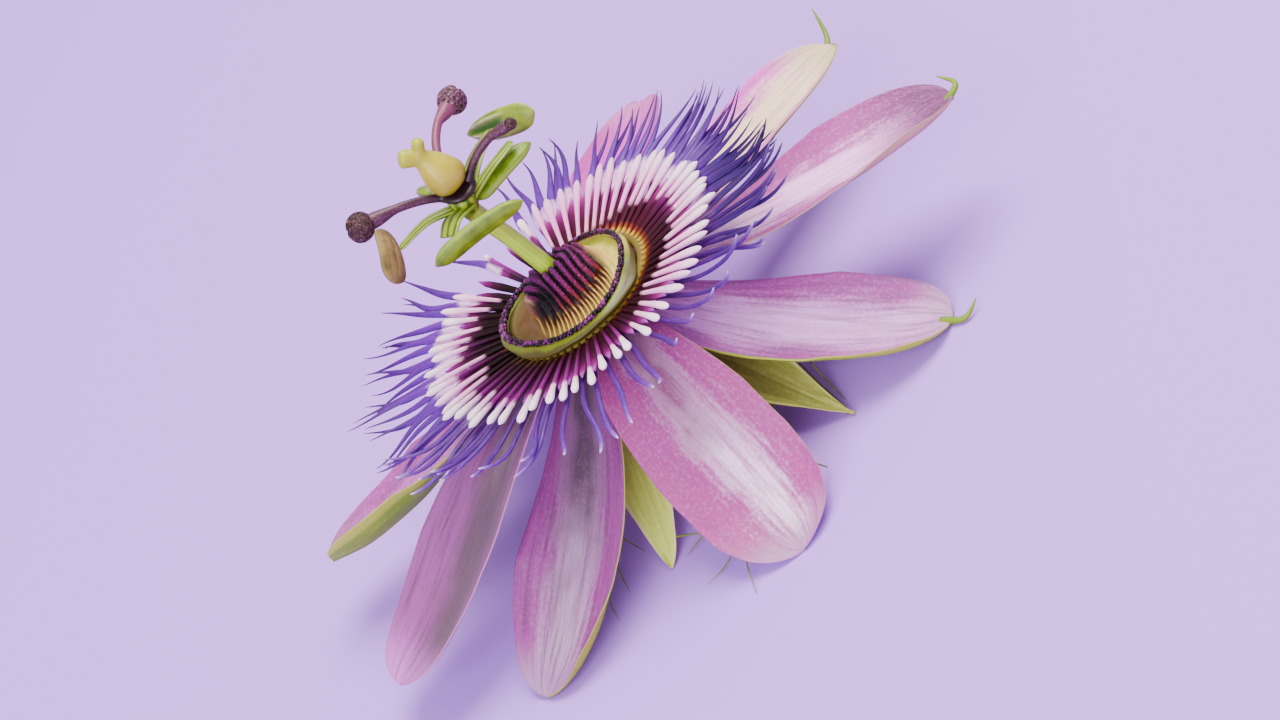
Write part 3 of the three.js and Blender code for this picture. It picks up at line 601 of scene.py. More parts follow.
def petal_face(spec):
    """The face of a petal or coloured sepal: thin, dewy skin of tiny cells over lengthwise
    veins. It shows a pale middle, blotched pink edges, a fine grain and soft folds darkened
    with painted shade."""
    material, shader, add = tissue(
        spec["name"] + "_face", 0.5, Subsurface_Weight=0.08, Subsurface_Scale=0.0008, Sheen_Weight=0.05
    )
    along, across, _, _, place = guides(add)
    off = off_middle(add, across, spec["streak"])
    full_size = (PETAL_LENGTH, spec["width"], 1.0)
    flat = add("VectorMath", [add("UVMap", uv_map="run"), full_size], operation="MULTIPLY")
    clouds = add("TexNoise", {"Vector": place, "Scale": 1 / (4.5 * MM), "Detail": 2.0, "Roughness": 0.5})
    folds = stretched(add, flat, FOLD, 2.0, 0.55)
    veins = stretched(add, flat, VEIN, 3.0, 0.65)
    cells = stretched(add, flat, CELL, 3.0, 0.7)
    cloudy = add("Math", [clouds, 0.5, off], operation="MULTIPLY_ADD")
    folded = add("Math", [folds, 0.7, cloudy], operation="MULTIPLY_ADD")
    grained = add("Math", [cells, 0.4, folded], operation="MULTIPLY_ADD")
    low, high = spec["spread"]
    edge = add("MapRange", {"Value": grained, "From Min": low, "From Max": high}, **EASED)
    body = add("Mix", [edge, spec["middle"], spec["edge"]], data_type="RGBA")
    early = add("Math", [clouds, 0.35, along], operation="MULTIPLY_ADD")
    begin, done = spec["reach"]
    near = add("MapRange", {"Value": early, "From Min": begin, "From Max": done}, **EASED)
    inner = add("Math", [edge, -0.75, 1.0], operation="MULTIPLY_ADD")
    spared = add("Math", [inner, near], operation="MULTIPLY")
    rooted = add("Mix", [spared, body, spec["base"]], data_type="RGBA")
    late = add("Math", [cells, 0.08, along], operation="MULTIPLY_ADD")
    tipped = laid(add, rooted, spec["end"], late, *spec["fade"], **EASED)
    # Painted shade: the fold pattern darkens the face towards the vein colour.
    fold_shaded = laid(add, tipped, spec["vein"], folds, 0.48, 0.7, 0.6)
    veined = laid(add, fold_shaded, spec["vein"], veins, 0.53, 0.7, 0.42)
    flecked = laid(add, veined, spec["fleck"], cells, 0.5, 0.3, 0.16)
    side, where, wide = spec["band"]
    inward = add("Math", [across, -side, (1 + side) / 2], operation="MULTIPLY_ADD")
    reach = add("MapRange", {"Value": along, "From Min": where, "From Max": where + 0.25, "To Max": wide})
    within = add("Math", [inward, reach], operation="SUBTRACT")
    colour = laid(add, flecked, "#98a828", within, 0.008, -0.008)
    relief = add("Math", [folds, 0.8, cells], operation="MULTIPLY_ADD")
    dress(shader, add, colour, relief, 0.3, 0.1)
    return material


# A streak is 12 mm long and 0.7 mm wide, as shares of a blade of 42 mm by 14 mm.
BACK_STREAK = [12.0 / PETAL_LENGTH, 0.7 / 14.0]


def blade_back(name, ground, deep, rim):
    """The underside of a petal, sepal or bract: leaf skin with raised lengthwise veins and
    a pale dry rim, matt beside the face."""
    material, shader, add = tissue(name, 0.55, Subsurface_Weight=0.08, Subsurface_Scale=0.0008)
    _, across, _, _, place = guides(add)
    off = off_middle(add, across)
    streaks = stretched(add, add("UVMap", uv_map="run"), BACK_STREAK, 3.0, 0.6)
    cells = add("TexNoise", {"Vector": place, "Scale": 1 / (0.5 * MM), "Detail": 2.0})
    mixed = add("Math", [cells, 0.4, streaks], operation="MULTIPLY_ADD")
    skin = laid(add, ground, deep, mixed, 0.5, 0.95)
    keeled = laid(add, skin, deep, off, 0.1, 0.02, 0.6)
    ragged = add("Math", [cells, 0.12, off], operation="MULTIPLY_ADD")
    dress(shader, add, laid(add, keeled, rim, ragged, 0.86, 1.0, **EASED), mixed, 0.3, 0.1)
    return material


def violet_strand():
    """A long filament of the crown: a fleshy thread, near black at its root, magenta, pale
    for a short way and then violet, with fine lengthwise lines and a satin skin."""
    material, shader, add = tissue(
        "violet_strand", 0.4, Subsurface_Weight=0.08, Subsurface_Scale=0.0004, Specular_IOR_Level=0.3
    )
    along, across, dusk, front, place = guides(add)
    spots = add("TexNoise", {"Vector": place, "Scale": 1 / (0.7 * MM), "Detail": 2.0})
    ragged = frayed(add, spots, 0.07, along)
    band = add("ValToRGB", [ragged], stops=[
        (0.0, "#ba8c1c"), (0.06, "#380b24"), (0.14, "#130305"), (0.26, "#380b24"), (0.34, "#8a1a74"),
        (0.38, "#e8b4e8"), (0.48, "#dca8e4"), (0.52, "#601c98"), (0.7, "#521484"), (0.86, "#420e68"),
        (1.0, "#2c1440"),
    ])
    plain = add("ValToRGB", [ragged], stops=[
        (0.0, "#806030"), (0.05, "#4a1430"), (0.16, "#5a104c"), (0.3, "#380a4c"), (0.55, "#420a62"),
        (0.78, "#4e107e"), (0.9, "#6c2aa0"), (0.97, "#a070cc"), (1.0, "#d8c0f0"),
    ])
    kind = add("Mix", [front, band, plain], data_type="RGBA")
    lined = add("CombineXYZ", [add("Math", [along, 3.0], operation="MULTIPLY"), across, dusk])
    fine = add("TexNoise", {"Vector": lined, "Scale": 6.0, "Detail": 2.0, "Roughness": 0.7})
    lines = laid(add, kind, "#3a0a62", fine, 0.5, 0.68, 0.5)
    light = add("MapRange", {"Value": fine, "From Min": 0.46, "From Max": 0.3, "To Max": 0.5})
    late = add("MapRange", {"Value": along, "From Min": 0.44, "From Max": 0.6})
    share = add("Math", [light, late], operation="MULTIPLY")
    streak = add("Mix", [front, "#70189c", "#782aae"], data_type="RGBA")
    streaked = add("Mix", [share, lines, streak], data_type="RGBA")
    deep = add("Math", [dusk, late], operation="MULTIPLY")
    dress(shader, add, add("Mix", [deep, streaked, "#240a48"], data_type="RGBA"), fine, 0.4, 0.08)
    return material


def club_strand():
    """A short filament of the crown: a thread that is dark to magenta on its neck and
    waxy white on its swollen tip. Its second tint says how far out the white begins."""
    material, shader, add = tissue(
        "club_strand", 0.45, Subsurface_Weight=0.1, Subsurface_Scale=0.0005, Specular_IOR_Level=0.15
    )
    along, _, glow, begin, place = guides(add)
    spots = add("TexNoise", {"Vector": place, "Scale": 1 / (0.45 * MM), "Detail": 3.0})
    dark = add("ValToRGB", [along], stops=[
        (0.0, "#2a1404"), (0.06, "#130305"), (0.4, "#180408"), (0.55, "#4a0c34"), (0.68, "#8a1a74"),
        (0.82, "#a03090"),
    ])
    bright = add("ValToRGB", [along], stops=[
        (0.0, "#e0c868"), (0.06, "#c8a030"), (0.1, "#8a3a18"), (0.16, "#380b1c"), (0.42, "#2a0818"),
        (0.6, "#7a1464"), (0.8, "#a03090"),
    ])
    violet = add("ValToRGB", [along], stops=[
        (0.0, "#746628"), (0.08, "#4c2e14"), (0.16, "#30081a"), (0.3, "#4c0a3c"), (0.45, "#66105e"),
        (0.8, "#8c2482"),
    ])
    longer = add("Mix", [glow, dark, bright], data_type="RGBA")
    neck = laid(add, longer, violet, begin, 0.52, 0.66)
    ahead = add("Math", [along, begin], operation="SUBTRACT")
    loose = frayed(add, spots, 0.08, ahead)
    shade = add("Math", [spots, 0.3, along], operation="MULTIPLY_ADD")
    pale = add("ValToRGB", [shade], stops=[
        (0.05, "#d8c068"), (0.3, "#e4bc9c"), (0.6, "#e8a0c8"), (0.9, "#f2bcdc"), (1.15, "#fae0ee"),
    ])
    white = laid(add, pale, "#ee78da", begin, 0.5, 0.1, 0.6)
    dress(shader, add, laid(add, neck, white, loose, -0.04, 0.05, **EASED), spots, 0.25, 0.06)
    return material


def wedge_strand():
    """A flat filament between two clubs: velvety maroon, near black half way, and fading
    through magenta to a lilac tip."""
    material, shader, add = tissue("wedge_strand", 0.6, Specular_IOR_Level=0.1)
    along, _, _, glow, place = guides(add)
    spots = add("TexNoise", {"Vector": place, "Scale": 1 / (0.6 * MM), "Detail": 3.0})
    ragged = frayed(add, spots, 0.12, along)
    bright = add("ValToRGB", [ragged], stops=[
        (0.0, "#d8b850"), (0.05, "#b07c1c"), (0.1, "#702010"), (0.17, "#40061a"), (0.45, "#400624"),
        (0.68, "#5c0c48"), (0.84, "#8a1a74"), (1.0, "#c070c0"),
    ])
    dark = add("ValToRGB", [ragged], stops=[
        (0.0, "#3a2008"), (0.06, "#130305"), (0.5, "#140309"), (0.7, "#340828"), (0.86, "#661058"),
        (1.0, "#9038a0"),
    ])
    dress(shader, add, add("Mix", [glow, dark, bright], data_type="RGBA"), spots, 0.3, 0.08)
    return material


def tube_flesh():
    """The tube and cup: smooth, juicy green flesh, yellower and cream at the right of its
    rim, partly painted light on that side, and olive where it turns under, which is painted
    shade, most at the front. Moist, so it has a soft gloss."""
    material, shader, add = tissue("tube_flesh", 0.38, Subsurface_Weight=0.12, Subsurface_Scale=0.001)
    along, around, right, under, place = guides(add)
    patches = add("TexNoise", {"Vector": place, "Scale": 1 / (2.5 * MM), "Detail": 3.0})
    # Partly painted light: the back right of the rim turns cream, with brighter rays.
    uneven = frayed(add, patches, 0.8, right)
    side = add("MapRange", {"Value": uneven, "From Min": 0.1, "From Max": 0.8}, **EASED)
    ground = add("Mix", [side, "#6c780c", "#b8a858"], data_type="RGBA")
    spread = add("CombineXYZ", [add("Math", [around, 46.0], operation="MULTIPLY"), along])
    rays = add("TexNoise", {"Vector": spread, "Scale": 1.5, "Detail": 2.0})
    bright = add("MapRange", {"Value": rays, "From Min": 0.52, "From Max": 0.7, "To Max": 0.6})
    shared = add("Math", [bright, side], operation="MULTIPLY")
    rayed = add("Mix", [shared, ground, "#d0b440"], data_type="RGBA")
    # Painted shade: the lip darkens to olive where it turns under, most at the front.
    painted_under_shade = frayed(add, patches, 0.5, under)
    green = laid(add, rayed, "#463c10", painted_under_shade, -0.1, 0.46, **EASED)
    grain = add("TexNoise", {"Vector": place, "Scale": 1 / (0.35 * MM), "Detail": 2.0})
    dress(shader, add, laid(add, green, "#5c6812", grain, 0.55, 0.75, 0.3), grain, 0.2, 0.06)
    return material


def bead_skin():
    """The knobs on the rim: moist purple grains of uneven tone, with small magenta glints painted on them.
    """
    material, shader, add = tissue(
        "bead_skin", 0.3, Coat_Weight=0.1, Coat_Roughness=0.15, Specular_IOR_Level=0.3
    )
    _, _, random, side, place = guides(add)
    grain = add("TexNoise", {"Vector": place, "Scale": 1 / (0.22 * MM), "Detail": 2.0})
    own = add("Math", [random, 0.7], operation="MULTIPLY")
    mixed = add("Math", [grain, 0.35, own], operation="MULTIPLY_ADD")
    # The lightest stops of both ramps are painted glints, over a tone that differs from knob to knob.
    deep = add("ValToRGB", [mixed], stops=[
        (0.25, "#0a010c"), (0.5, "#200422"), (0.66, "#44093f"), (0.8, "#60125c"), (0.92, "#942c8a"),
    ])
    pink = add("ValToRGB", [mixed], stops=[(0.25, "#180312"), (0.55, "#481038"), (0.8, "#8c3c84")])
    dress(shader, add, add("Mix", [side, deep, pink], data_type="RGBA"), grain, 0.5, 0.1)
    return material


def operculum_skin():
    """The pleated membrane in the cup. It is dry and yellow at its edge with maroon creases that
    darken to near black on the dome, partly painted shade; orange where the dome starts; and
    grainy magenta on the ridges of the dome, with painted pink glints on its grains. A hollow at
    the front left of the dome is painted near black as its shade. Its smooth sides are cream at
    the right and tan at the left, with a painted highlight where the tan meets the dome."""
    material, shader, add = tissue(
        "operculum_skin", 0.45, Subsurface_Weight=0.05, Subsurface_Scale=0.0004, Specular_IOR_Level=0.2
    )
    along, dark, crest, pleats, place = guides(add)
    grain = add("TexVoronoi", {"Vector": place, "Scale": 1 / (0.26 * MM)})
    spots = add("TexNoise", {"Vector": place, "Scale": 1 / (0.5 * MM), "Detail": 3.0})
    ragged = frayed(add, spots, 0.1, along)
    ridge = add("ValToRGB", [ragged], stops=[
        (0.0, "#d4cc60"), (0.16, "#f0dc60"), (0.34, "#e8c048"), (0.42, "#742414"), (0.48, "#600c2c"),
        (0.62, "#5c0844"), (1.0, "#480850"),
    ])
    # Partly painted shade: the creases darken from maroon at the edge to near black on the dome.
    crease_shade = add("ValToRGB", [ragged], stops=[
        (0.0, "#a89838"), (0.18, "#94702c"), (0.34, "#3c1010"), (0.44, "#100208"), (1.0, "#080106"),
    ])
    east = add("SeparateXYZ", [place]).outputs[0]
    # The pale stop at 0.57 is a painted highlight where the tan side meets the dome.
    left_skin = add("ValToRGB", [ragged], stops=[
        (0.0, "#64542c"), (0.3, "#6c4c30"), (0.5, "#7c5c40"), (0.57, "#d0b890"), (0.64, "#3a0a28"),
    ])
    right_skin = add("ValToRGB", [ragged], stops=[
        (0.0, "#98a42c"), (0.2, "#d0bc58"), (0.5, "#dcb864"), (0.6, "#802838"), (0.7, "#480c3c"),
    ])
    plain = laid(add, left_skin, right_skin, east, (ORIGIN[0] - 3) * MM, (ORIGIN[0] + 3) * MM)
    # Painted highlights: pink glints on the grains of the dome.
    glint = add("MapRange", {"Value": grain, "From Min": 0.36, "From Max": 0.1, "To Max": 0.8})
    dome = add("MapRange", {"Value": along, "From Min": 0.4, "From Max": 0.52})
    glinting = add("Math", [glint, dome], operation="MULTIPLY")
    grainy = add("Mix", [glinting, ridge, "#b03a90"], data_type="RGBA")
    pleated = laid(add, crease_shade, grainy, crest, 0.42, 0.82, **EASED)
    smoothed = add("Mix", [pleats, plain, pleated], data_type="RGBA")
    grains = add("Math", [grain, dome], operation="MULTIPLY")
    bumps = add("Math", [grains, -1.0], operation="MULTIPLY")
    # Painted shade: the second run guide paints the hollow at the front left of the dome near black.
    dress(shader, add, add("Mix", [dark, smoothed, "#0a0208"], data_type="RGBA"), bumps, 0.8, 0.12)
    return material


def column_flesh(name, light, deep, stripes, contrast):
    """A green stalk or strap: smooth juicy flesh with lengthwise fibres under the skin."""
    material, shader, add = tissue(name, 0.36, Subsurface_Weight=0.15, Subsurface_Scale=0.0008)
    along, across, random, _, place = guides(add)
    turn = add("Math", [across, stripes * 2 * math.pi], operation="MULTIPLY")
    bands = add("Math", [turn], operation="COSINE")
    lined = add("CombineXYZ", [along, add("Math", [across, 9.0], operation="MULTIPLY"), random])
    fibres = add("TexNoise", {"Vector": lined, "Scale": 2.0, "Detail": 3.0})
    cloud = add("TexNoise", {"Vector": place, "Scale": 1 / (1.5 * MM), "Detail": 2.0})
    wavy = add("Math", [bands, contrast, fibres], operation="MULTIPLY_ADD")
    mixed = add("Math", [cloud, 0.4, wavy], operation="MULTIPLY_ADD")
    dress(shader, add, laid(add, light, deep, mixed, 0.45, 0.95), wavy, 0.3, 0.08)
    return material


def anther_skin(name, light, deep, rim, roughness):
    """An anther: a leathery sac, paler at its rim. Where it has split open, the first tint
    darkens it to deep green inside the slit, and the second the cream lip round the slit."""
    material, shader, add = tissue(name, roughness, Subsurface_Weight=0.1, Subsurface_Scale=0.0006)
    along, across, hollow, lip, place = guides(add)
    grain = add("TexNoise", {"Vector": place, "Scale": 1 / (0.3 * MM), "Detail": 3.0, "Roughness": 0.65})
    lined = add("CombineXYZ", [along, add("Math", [across, 12.0], operation="MULTIPLY")])
    fibres = add("TexNoise", {"Vector": lined, "Scale": 2.0, "Detail": 2.0})
    cloud = add("TexNoise", {"Vector": place, "Scale": 1 / (1.6 * MM), "Detail": 2.0})
    fibrous = add("Math", [fibres, 0.5, cloud], operation="MULTIPLY_ADD")
    mixed = add("Math", [grain, 0.35, fibrous], operation="MULTIPLY_ADD")
    skin = laid(add, light, deep, mixed, 0.7, 1.15)
    edged = laid(add, skin, rim, off_middle(add, across), 0.78, 0.95, 0.7)
    opened = add("Mix", [hollow, edged, "#3c6c14"], data_type="RGBA")
    dress(shader, add, add("Mix", [lip, opened, "#f0ecb8"], data_type="RGBA"), mixed, 0.3, 0.08)
    return material


# The heights between which the wax of the ovary turns from tan to green, 1.2 mm up for the
# noise that is added.
WAX_HEIGHTS = [23.5, 31.5]


def ovary_wax():
    """The ovary: plump, waxy, cream-coloured and faintly ribbed, greener on its head."""
    material, shader, add = tissue("ovary_wax", 0.34, Subsurface_Weight=0.1, Subsurface_Scale=0.0006)
    place = add("TexCoord").outputs["Object"]
    height = add("SeparateXYZ", [place]).outputs[2]
    cloud = add("TexNoise", {"Vector": place, "Scale": 1 / (1.4 * MM), "Detail": 3.0})
    drift = add("Math", [cloud, 2.4 * MM, height], operation="MULTIPLY_ADD")
    low, high = (ORIGIN[2] + level for level in WAX_HEIGHTS)
    share = add("MapRange", {"Value": drift, "From Min": low * MM, "From Max": high * MM})
    body = add("ValToRGB", [share], stops=[
        (0.0, "#685c10"), (0.2, "#988a1c"), (0.55, "#bcae26"), (0.72, "#a4a01c"), (1.0, "#a4a818"),
    ])
    dress(shader, add, body, cloud, 0.15, 0.1)
    return material


def speckled_skin():
    """The styles and their collar: smooth purple-brown flesh with fine pale specks, and
    nearly black on the collar."""
    material, shader, add = tissue("speckled_skin", 0.38)
    place = add("TexCoord").outputs["Object"]
    specks = add("TexNoise", {"Vector": place, "Scale": 1 / (0.24 * MM), "Detail": 3.0, "Roughness": 0.7})
    middle = (ORIGIN + np.mean(COLLAR["route"], axis=0)) * MM
    away = add("VectorMath", [place, tuple(middle)], operation="DISTANCE")
    far = add("MapRange", {"Value": away.outputs["Value"], "From Min": 2.5 * MM, "From Max": 4.4 * MM})
    back = add("SeparateXYZ", [place]).outputs[1]
    style = laid(add, "#3e1c2c", "#74324f", back, (ORIGIN[1] - 1) * MM, (ORIGIN[1] + 3) * MM)
    ground = add("Mix", [far, "#230f16", style], data_type="RGBA")
    pale = add("MapRange", {"Value": specks, "From Min": 0.5, "From Max": 0.72, "To Max": 0.5})
    shown = add("Math", [pale, far], operation="MULTIPLY")
    dress(shader, add, add("Mix", [shown, ground, "#9c5a7c"], data_type="RGBA"), specks, 0.4, 0.06)
    return material


def stigma_grain(name, stops):
    """A stigma: a knob crowded with dull purple-brown grains that carry pink dust."""
    material, shader, add = tissue(name, 0.6, Specular_IOR_Level=0.3)
    _, _, height, _, place = guides(add)
    dust = add("TexNoise", {"Vector": place, "Scale": 1 / (0.25 * MM), "Detail": 3.0, "Roughness": 0.75})
    lifted = add("Math", [height, 0.15], operation="MULTIPLY")
    raised = add("Math", [dust, 0.9, lifted], operation="MULTIPLY_ADD")
    dress(shader, add, add("ValToRGB", [raised], stops=stops), dust, 0.5, 0.1)
    return material


def floor_card():
    """Matt lavender background card: plain pigment in paper, with no gloss."""
    material, shader, _ = tissue("floor_card", 0.9, Specular_IOR_Level=0.1)
    shader.inputs["Base Color"].default_value = paint("#bc88f0")
    return material


# ---- the tube, its cup and the stalk ----


def tube_and_stalk():
    """One skin from the cut end of the stalk, up the tube and over the rim, to the cup floor."""
    sides = CUP["sides"]
    route = curve_through([STALK["start"], STALK["bend"], STALK["end"]], 26)[::-1]
    swell = np.linspace(0, 1, len(route))
    radii = STALK["radius"] * (1 + 0.06 * np.sin(swell * 9) + 0.5 * smooth(swell, 0.72, 1.0))
    angle = np.arange(sides) / sides * 2 * math.pi
    ahead = unit(np.gradient(route, axis=0))
    side = unit(RIGHT - (ahead @ RIGHT)[:, None] * ahead)
    normal = np.cross(ahead, side)
    stalk = route[:, None] + radii[:, None, None] * (
        np.cos(angle)[None, :, None] * side[:, None] + np.sin(angle)[None, :, None] * normal[:, None]
    )
    outside = curve_through([[radius, 0, height] for radius, height in TUBE_PROFILE], 24)
    lip = curve_through([[radius, 0, height] for radius, height in RIM_PROFILE], 54)
    profile = [(point[0], point[2]) for point in [*outside, *lip]]
    rings = turned(profile, sides)
    risen = (rings[..., 2] - CUP["flange"]) / (CUP["height"] - CUP["flange"])
    rings = leaned(rings, np.clip(risen, 0, 1))
    narrow = FLANGE["narrowed"] * smooth(np.cos(angle - math.radians(FLANGE["angle"])), -0.1, 0.75)
    out = np.hypot(rings[..., 0], rings[..., 1])
    kept = FLANGE["kept"]
    kept = np.where(out > kept, kept + (out - kept) * (1 - narrow), out) / out
    uneven = 1 + 0.012 * np.sin(angle * 5 + 0.6) + 0.006 * np.sin(angle * 13)
    rings[..., :2] *= (kept * uneven)[..., None]
    points = np.concatenate([stalk, rings]).reshape(-1, 3)
    rows = len(stalk) + len(rings)
    faces = grid(rows, sides, closed=True)
    ends = [points[:sides].mean(0), points[-sides:].mean(0)]
    last = len(points) - sides
    faces += [(len(points), (corner + 1) % sides, corner) for corner in range(sides)]
    faces += [(len(points) + 1, last + corner, last + (corner + 1) % sides) for corner in range(sides)]
    share = np.zeros((rows, sides))
    share[len(stalk) + len(outside):] = np.linspace(0, 1, len(lip))[:, None]
    around = np.broadcast_to(np.abs(angle / math.pi - 1), share.shape)
    run = np.concatenate([np.stack([share, around], -1).reshape(-1, 2), [[0, 0], [1, 0]]])
    # The first tint is the cream back right of the rim, partly painted light. The second is the painted
    # shade where its lip turns under, strongest at the front.
    right = smooth(np.cos(angle - math.radians(FLANGE["lit_yellow_angle"])), 0.5, 0.98)
    cup = points[:, 2].reshape(rows, sides) > -4
    under = 1 - smooth(share, 0.17, 0.4)
    tint = np.stack([right * cup, under * (0.4 + 0.6 * smooth(-np.sin(angle), -0.2, 0.8)) * cup], -1)
    tint = np.concatenate([tint.reshape(-1, 2), [[0, 0], [0, 0]]])
    body = Body()
    body.add(np.concatenate([points, ends]), faces, run, tint=tint)
    return body.build("tube_and_stalk", [tube_flesh()])


# ---- the crown of filaments ----


def funnel(radius):
    """Height of the filaments over their roots: a shallow funnel that levels off."""
    out = np.maximum(0, radius - 9.8)
    return 0.2 * out - 0.0052 * out * out


def long_strand(body, azimuth, draw, root, partner):
    """One violet filament. Those at the front droop and curl up at a pale blunt tip. The
    others thin out to a dark hair, in pairs that touch on their way at the left, and
    crowd in a dark bunch at the right."""
    section = LONG_SECTION
    reach = LONG["reach"] + (next(draw) - 0.5) * 2 * LONG["spread"]
    sway = (next(draw) - 0.5) * LONG["sway"]
    curl = (next(draw) - 0.35) * LONG["curl"]
    shade = (reach * 7.13) % 1
    front = float(smooth(math.sin(math.radians(azimuth - 5)), -0.1, 0.5))
    left = float(bell(azimuth, *PAIRED))
    right = float(bell((azimuth + 180) % 360, HUDDLED[0] + 180, HUDDLED[1]))
    share = np.linspace(0, 1, section["steps"] + 1)
    radius = STRAND_START + (reach - STRAND_START) * share
    late = np.maximum(0, share - 0.5) * 2
    droop = LONG["droop"] * float(bell(azimuth, *DROOPING))
    height = root + funnel(radius) + (curl - droop) * late**2 + (0.5 + 1.6 * front) * late**4
    height = height + 0.45 * (1 - front) * bell(share, 0.5, 0.18)
    height = height + 0.25 * late * np.sin(share * 9 + shade * 6)
    meet = LONG["meet"] * left * bell(share, 0.66, 0.2)
    bunch = right * LONG["huddle"] * math.sin(math.radians((azimuth - 14) * 10)) * late
    turn = azimuth + sway * share**2 + meet * (partner - azimuth - sway * share**2) - bunch
    turn = np.radians(turn + 1.5 * late * np.sin(share * 8 + shade * 9))
    path = np.stack([radius * np.cos(turn), -radius * np.sin(turn), height], -1)
    blunt = 1 - smooth(share, 0.8, 1.0) * 0.4
    hair = np.interp(share, [0, 0.3, 0.42, 0.54, 0.75, 0.93, 1.0], [0.7, 0.85, 1.3, 1.15, 0.7, 0.24, 0.1])
    taper = (hair * (1 - front) + blunt * front) * np.sqrt(np.clip((1.004 - share) / 0.02, 0.02, 1))
    taper = taper * (1 - 0.3 * front)
    widths = section["width"] / 2 * taper * (1 + 0.1 * np.sin(share * 11 + shade * 6) + 0.35 * meet)
    depths = section["depth"] / 2 * taper * np.interp(share, [0, 0.05], [0.7, 1.0])
    side = polar(1, azimuth + 90, 0)
    dark = 0.2 * shade + 0.8 * right
    body.add(*limb(path, widths, depths, section["sides"], side, ribs=4, rib_depth=0.08), tint=(dark, front))


def root_ring(body, height, tint):
    """The ring that a row of filaments grows from."""
    angle = np.linspace(0, 2 * math.pi, RING["around"], endpoint=False)
    radii = RING["radius"] - RING["width"] * np.cos(angle)
    profile = np.stack([radii, height + RING["depth"] * np.sin(angle)], -1)
    rings = turned([*profile, profile[0]], RING["sides"])
    points = rings.reshape(-1, 3)
    faces = grid(len(rings), RING["sides"], closed=True)
    body.add(points, faces, np.full((len(points), 2), 0.02), tint=tint)


def crown_outside():
    """The long violet filaments: those of the solid, less two in three of them in the sparse
    patch, and more that are crowded between them."""
    body = Body()
    root_ring(body, LONG["root"], (0.5, 0.0))
    draw = draws(LONG["seed"])
    step = 360 / LONG["count"]
    for number in range(LONG["count"]):
        azimuth = (number + 0.5) * step
        if not in_gap(azimuth, number):
            long_strand(body, azimuth, draw, LONG["root"], (number // 2 * 2 + 1) * step)
    for row in (EXTRA, BUNCH):
        for number in range(row["count"]):
            azimuth = row["from"] + number * row["over"] / row["count"] + next(draw) * 3
            if not SPARSE[0] < azimuth < SPARSE[1]:
                long_strand(body, azimuth, draw, LONG["root"] - row["lower"], azimuth)
    return body.build("violet_filaments", [violet_strand()])


def round_crown(table, azimuth):
    """The value at an azimuth, from a table of azimuths and values."""
    return float(np.interp(azimuth % 360, *zip(*table)))


def thin_patch(azimuth):
    """The share of their width that the short filaments keep, less in the sparse patch."""
    return 1 - 0.45 * float(bell(azimuth % 360, *THINNED))


def in_gap(azimuth, number):
    """Whether a filament is missing: two in three are, in the sparse patch at the back left."""
    low, high = SPARSE
    return low < azimuth % 360 < high and number % 3 != 0


def crown_inside():
    """The clubs with white tips, and dark flat strands between them."""
    body = Body()
    sides = RING["sides"]
    ring = [round_crown(ROOT_GLOW, -number * 360 / sides) for number in range(sides)]
    glow = np.tile(ring, RING["around"] + 1)
    root_ring(body, CLUB["root"], np.column_stack([glow, np.full(len(glow), 0.9)]))
    draw = draws(CLUB["seed"])
    stations = [0.0, 0.3, 0.6, 0.76, 0.86, 0.93, 0.97, 1.0]
    slender = [0.95, 0.8, 1.15, 1.55, 1.6, 1.25, 0.85, 0.2]
    swollen = [0.75, 0.8, 0.95, 1.15, 1.55, 1.75, 1.35, 0.3]
    for number in range(CLUB["count"]):
        azimuth = number * 360 / CLUB["count"] + 3
        reach = CLUB["reach"] + (next(draw) - 0.5) * 2 * CLUB["spread"]
        lift = next(draw) * 0.4
        sway = (next(draw) - 0.5) * 3
        if in_gap(azimuth, number):
            continue
        share = 1 - (1 - np.linspace(0, 1, 27)) ** 1.4
        radius = STRAND_START + (reach - STRAND_START) * share
        turn = np.radians(azimuth + 1.5 * sway * share)
        height = CLUB["root"] + funnel(radius) + lift * share
        path = np.stack([radius * np.cos(turn), -radius * np.sin(turn), height], -1)
        uneven = 0.1 + 0.3 * float(bell(azimuth, *UNEVEN))
        begin = round_crown(WHITE_START, azimuth) + (sway / 3) * uneven
        bulb = float(smooth(begin, 0.3, 0.6))
        shape = np.interp(share, stations, np.array(slender) * (1 - bulb) + np.array(swollen) * bulb)
        widths = CLUB["neck"] / 2 * shape * (0.86 + 0.3 * (reach * 5.37 % 1)) * thin_patch(azimuth)
        widths = widths * (1 - 0.4 * float(bell(azimuth, *SLIM)))
        depths = CLUB["neck"] / 2 * (0.35 + 0.6 * shape) * np.interp(share, [0.96, 1.0], [1.0, 0.4])
        section = limb(path, widths, depths, 12, polar(1, azimuth + 90, 0))
        body.add(*section, tint=(round_crown(ROOT_GLOW, azimuth), begin))
    draw = draws(WEDGE["seed"])
    for number in range(WEDGE["count"]):
        azimuth = number * 360 / WEDGE["count"]
        reach = WEDGE["reach"] + (next(draw) - 0.5) * 2 * WEDGE["spread"]
        share = np.linspace(0, 1, 19)
        radius = STRAND_START - 0.3 + (reach - STRAND_START) * share
        turn = np.radians(azimuth + (next(draw) - 0.5) * 2.4 * share)
        height = WEDGE["root"] + funnel(radius) + next(draw) * 0.2
        shade = next(draw)
        if in_gap(azimuth, number + 1):
            continue
        path = np.stack([radius * np.cos(turn), -radius * np.sin(turn), height], -1)
        widths = WEDGE["width"] / 2 * np.interp(share, [0, 0.6, 0.85, 1.0], [1.1, 1.6, 1.25, 0.12])
        widths = widths * thin_patch(azimuth)
        section = limb(path, widths, np.full(len(share), 0.18), 8, polar(1, azimuth + 90, 0))
        body.add(*section, tint=(shade, round_crown(ROOT_GLOW, azimuth)), finish=1)
    return body.build("white_clubs", [club_strand(), wedge_strand()])


# ---- inside the cup ----


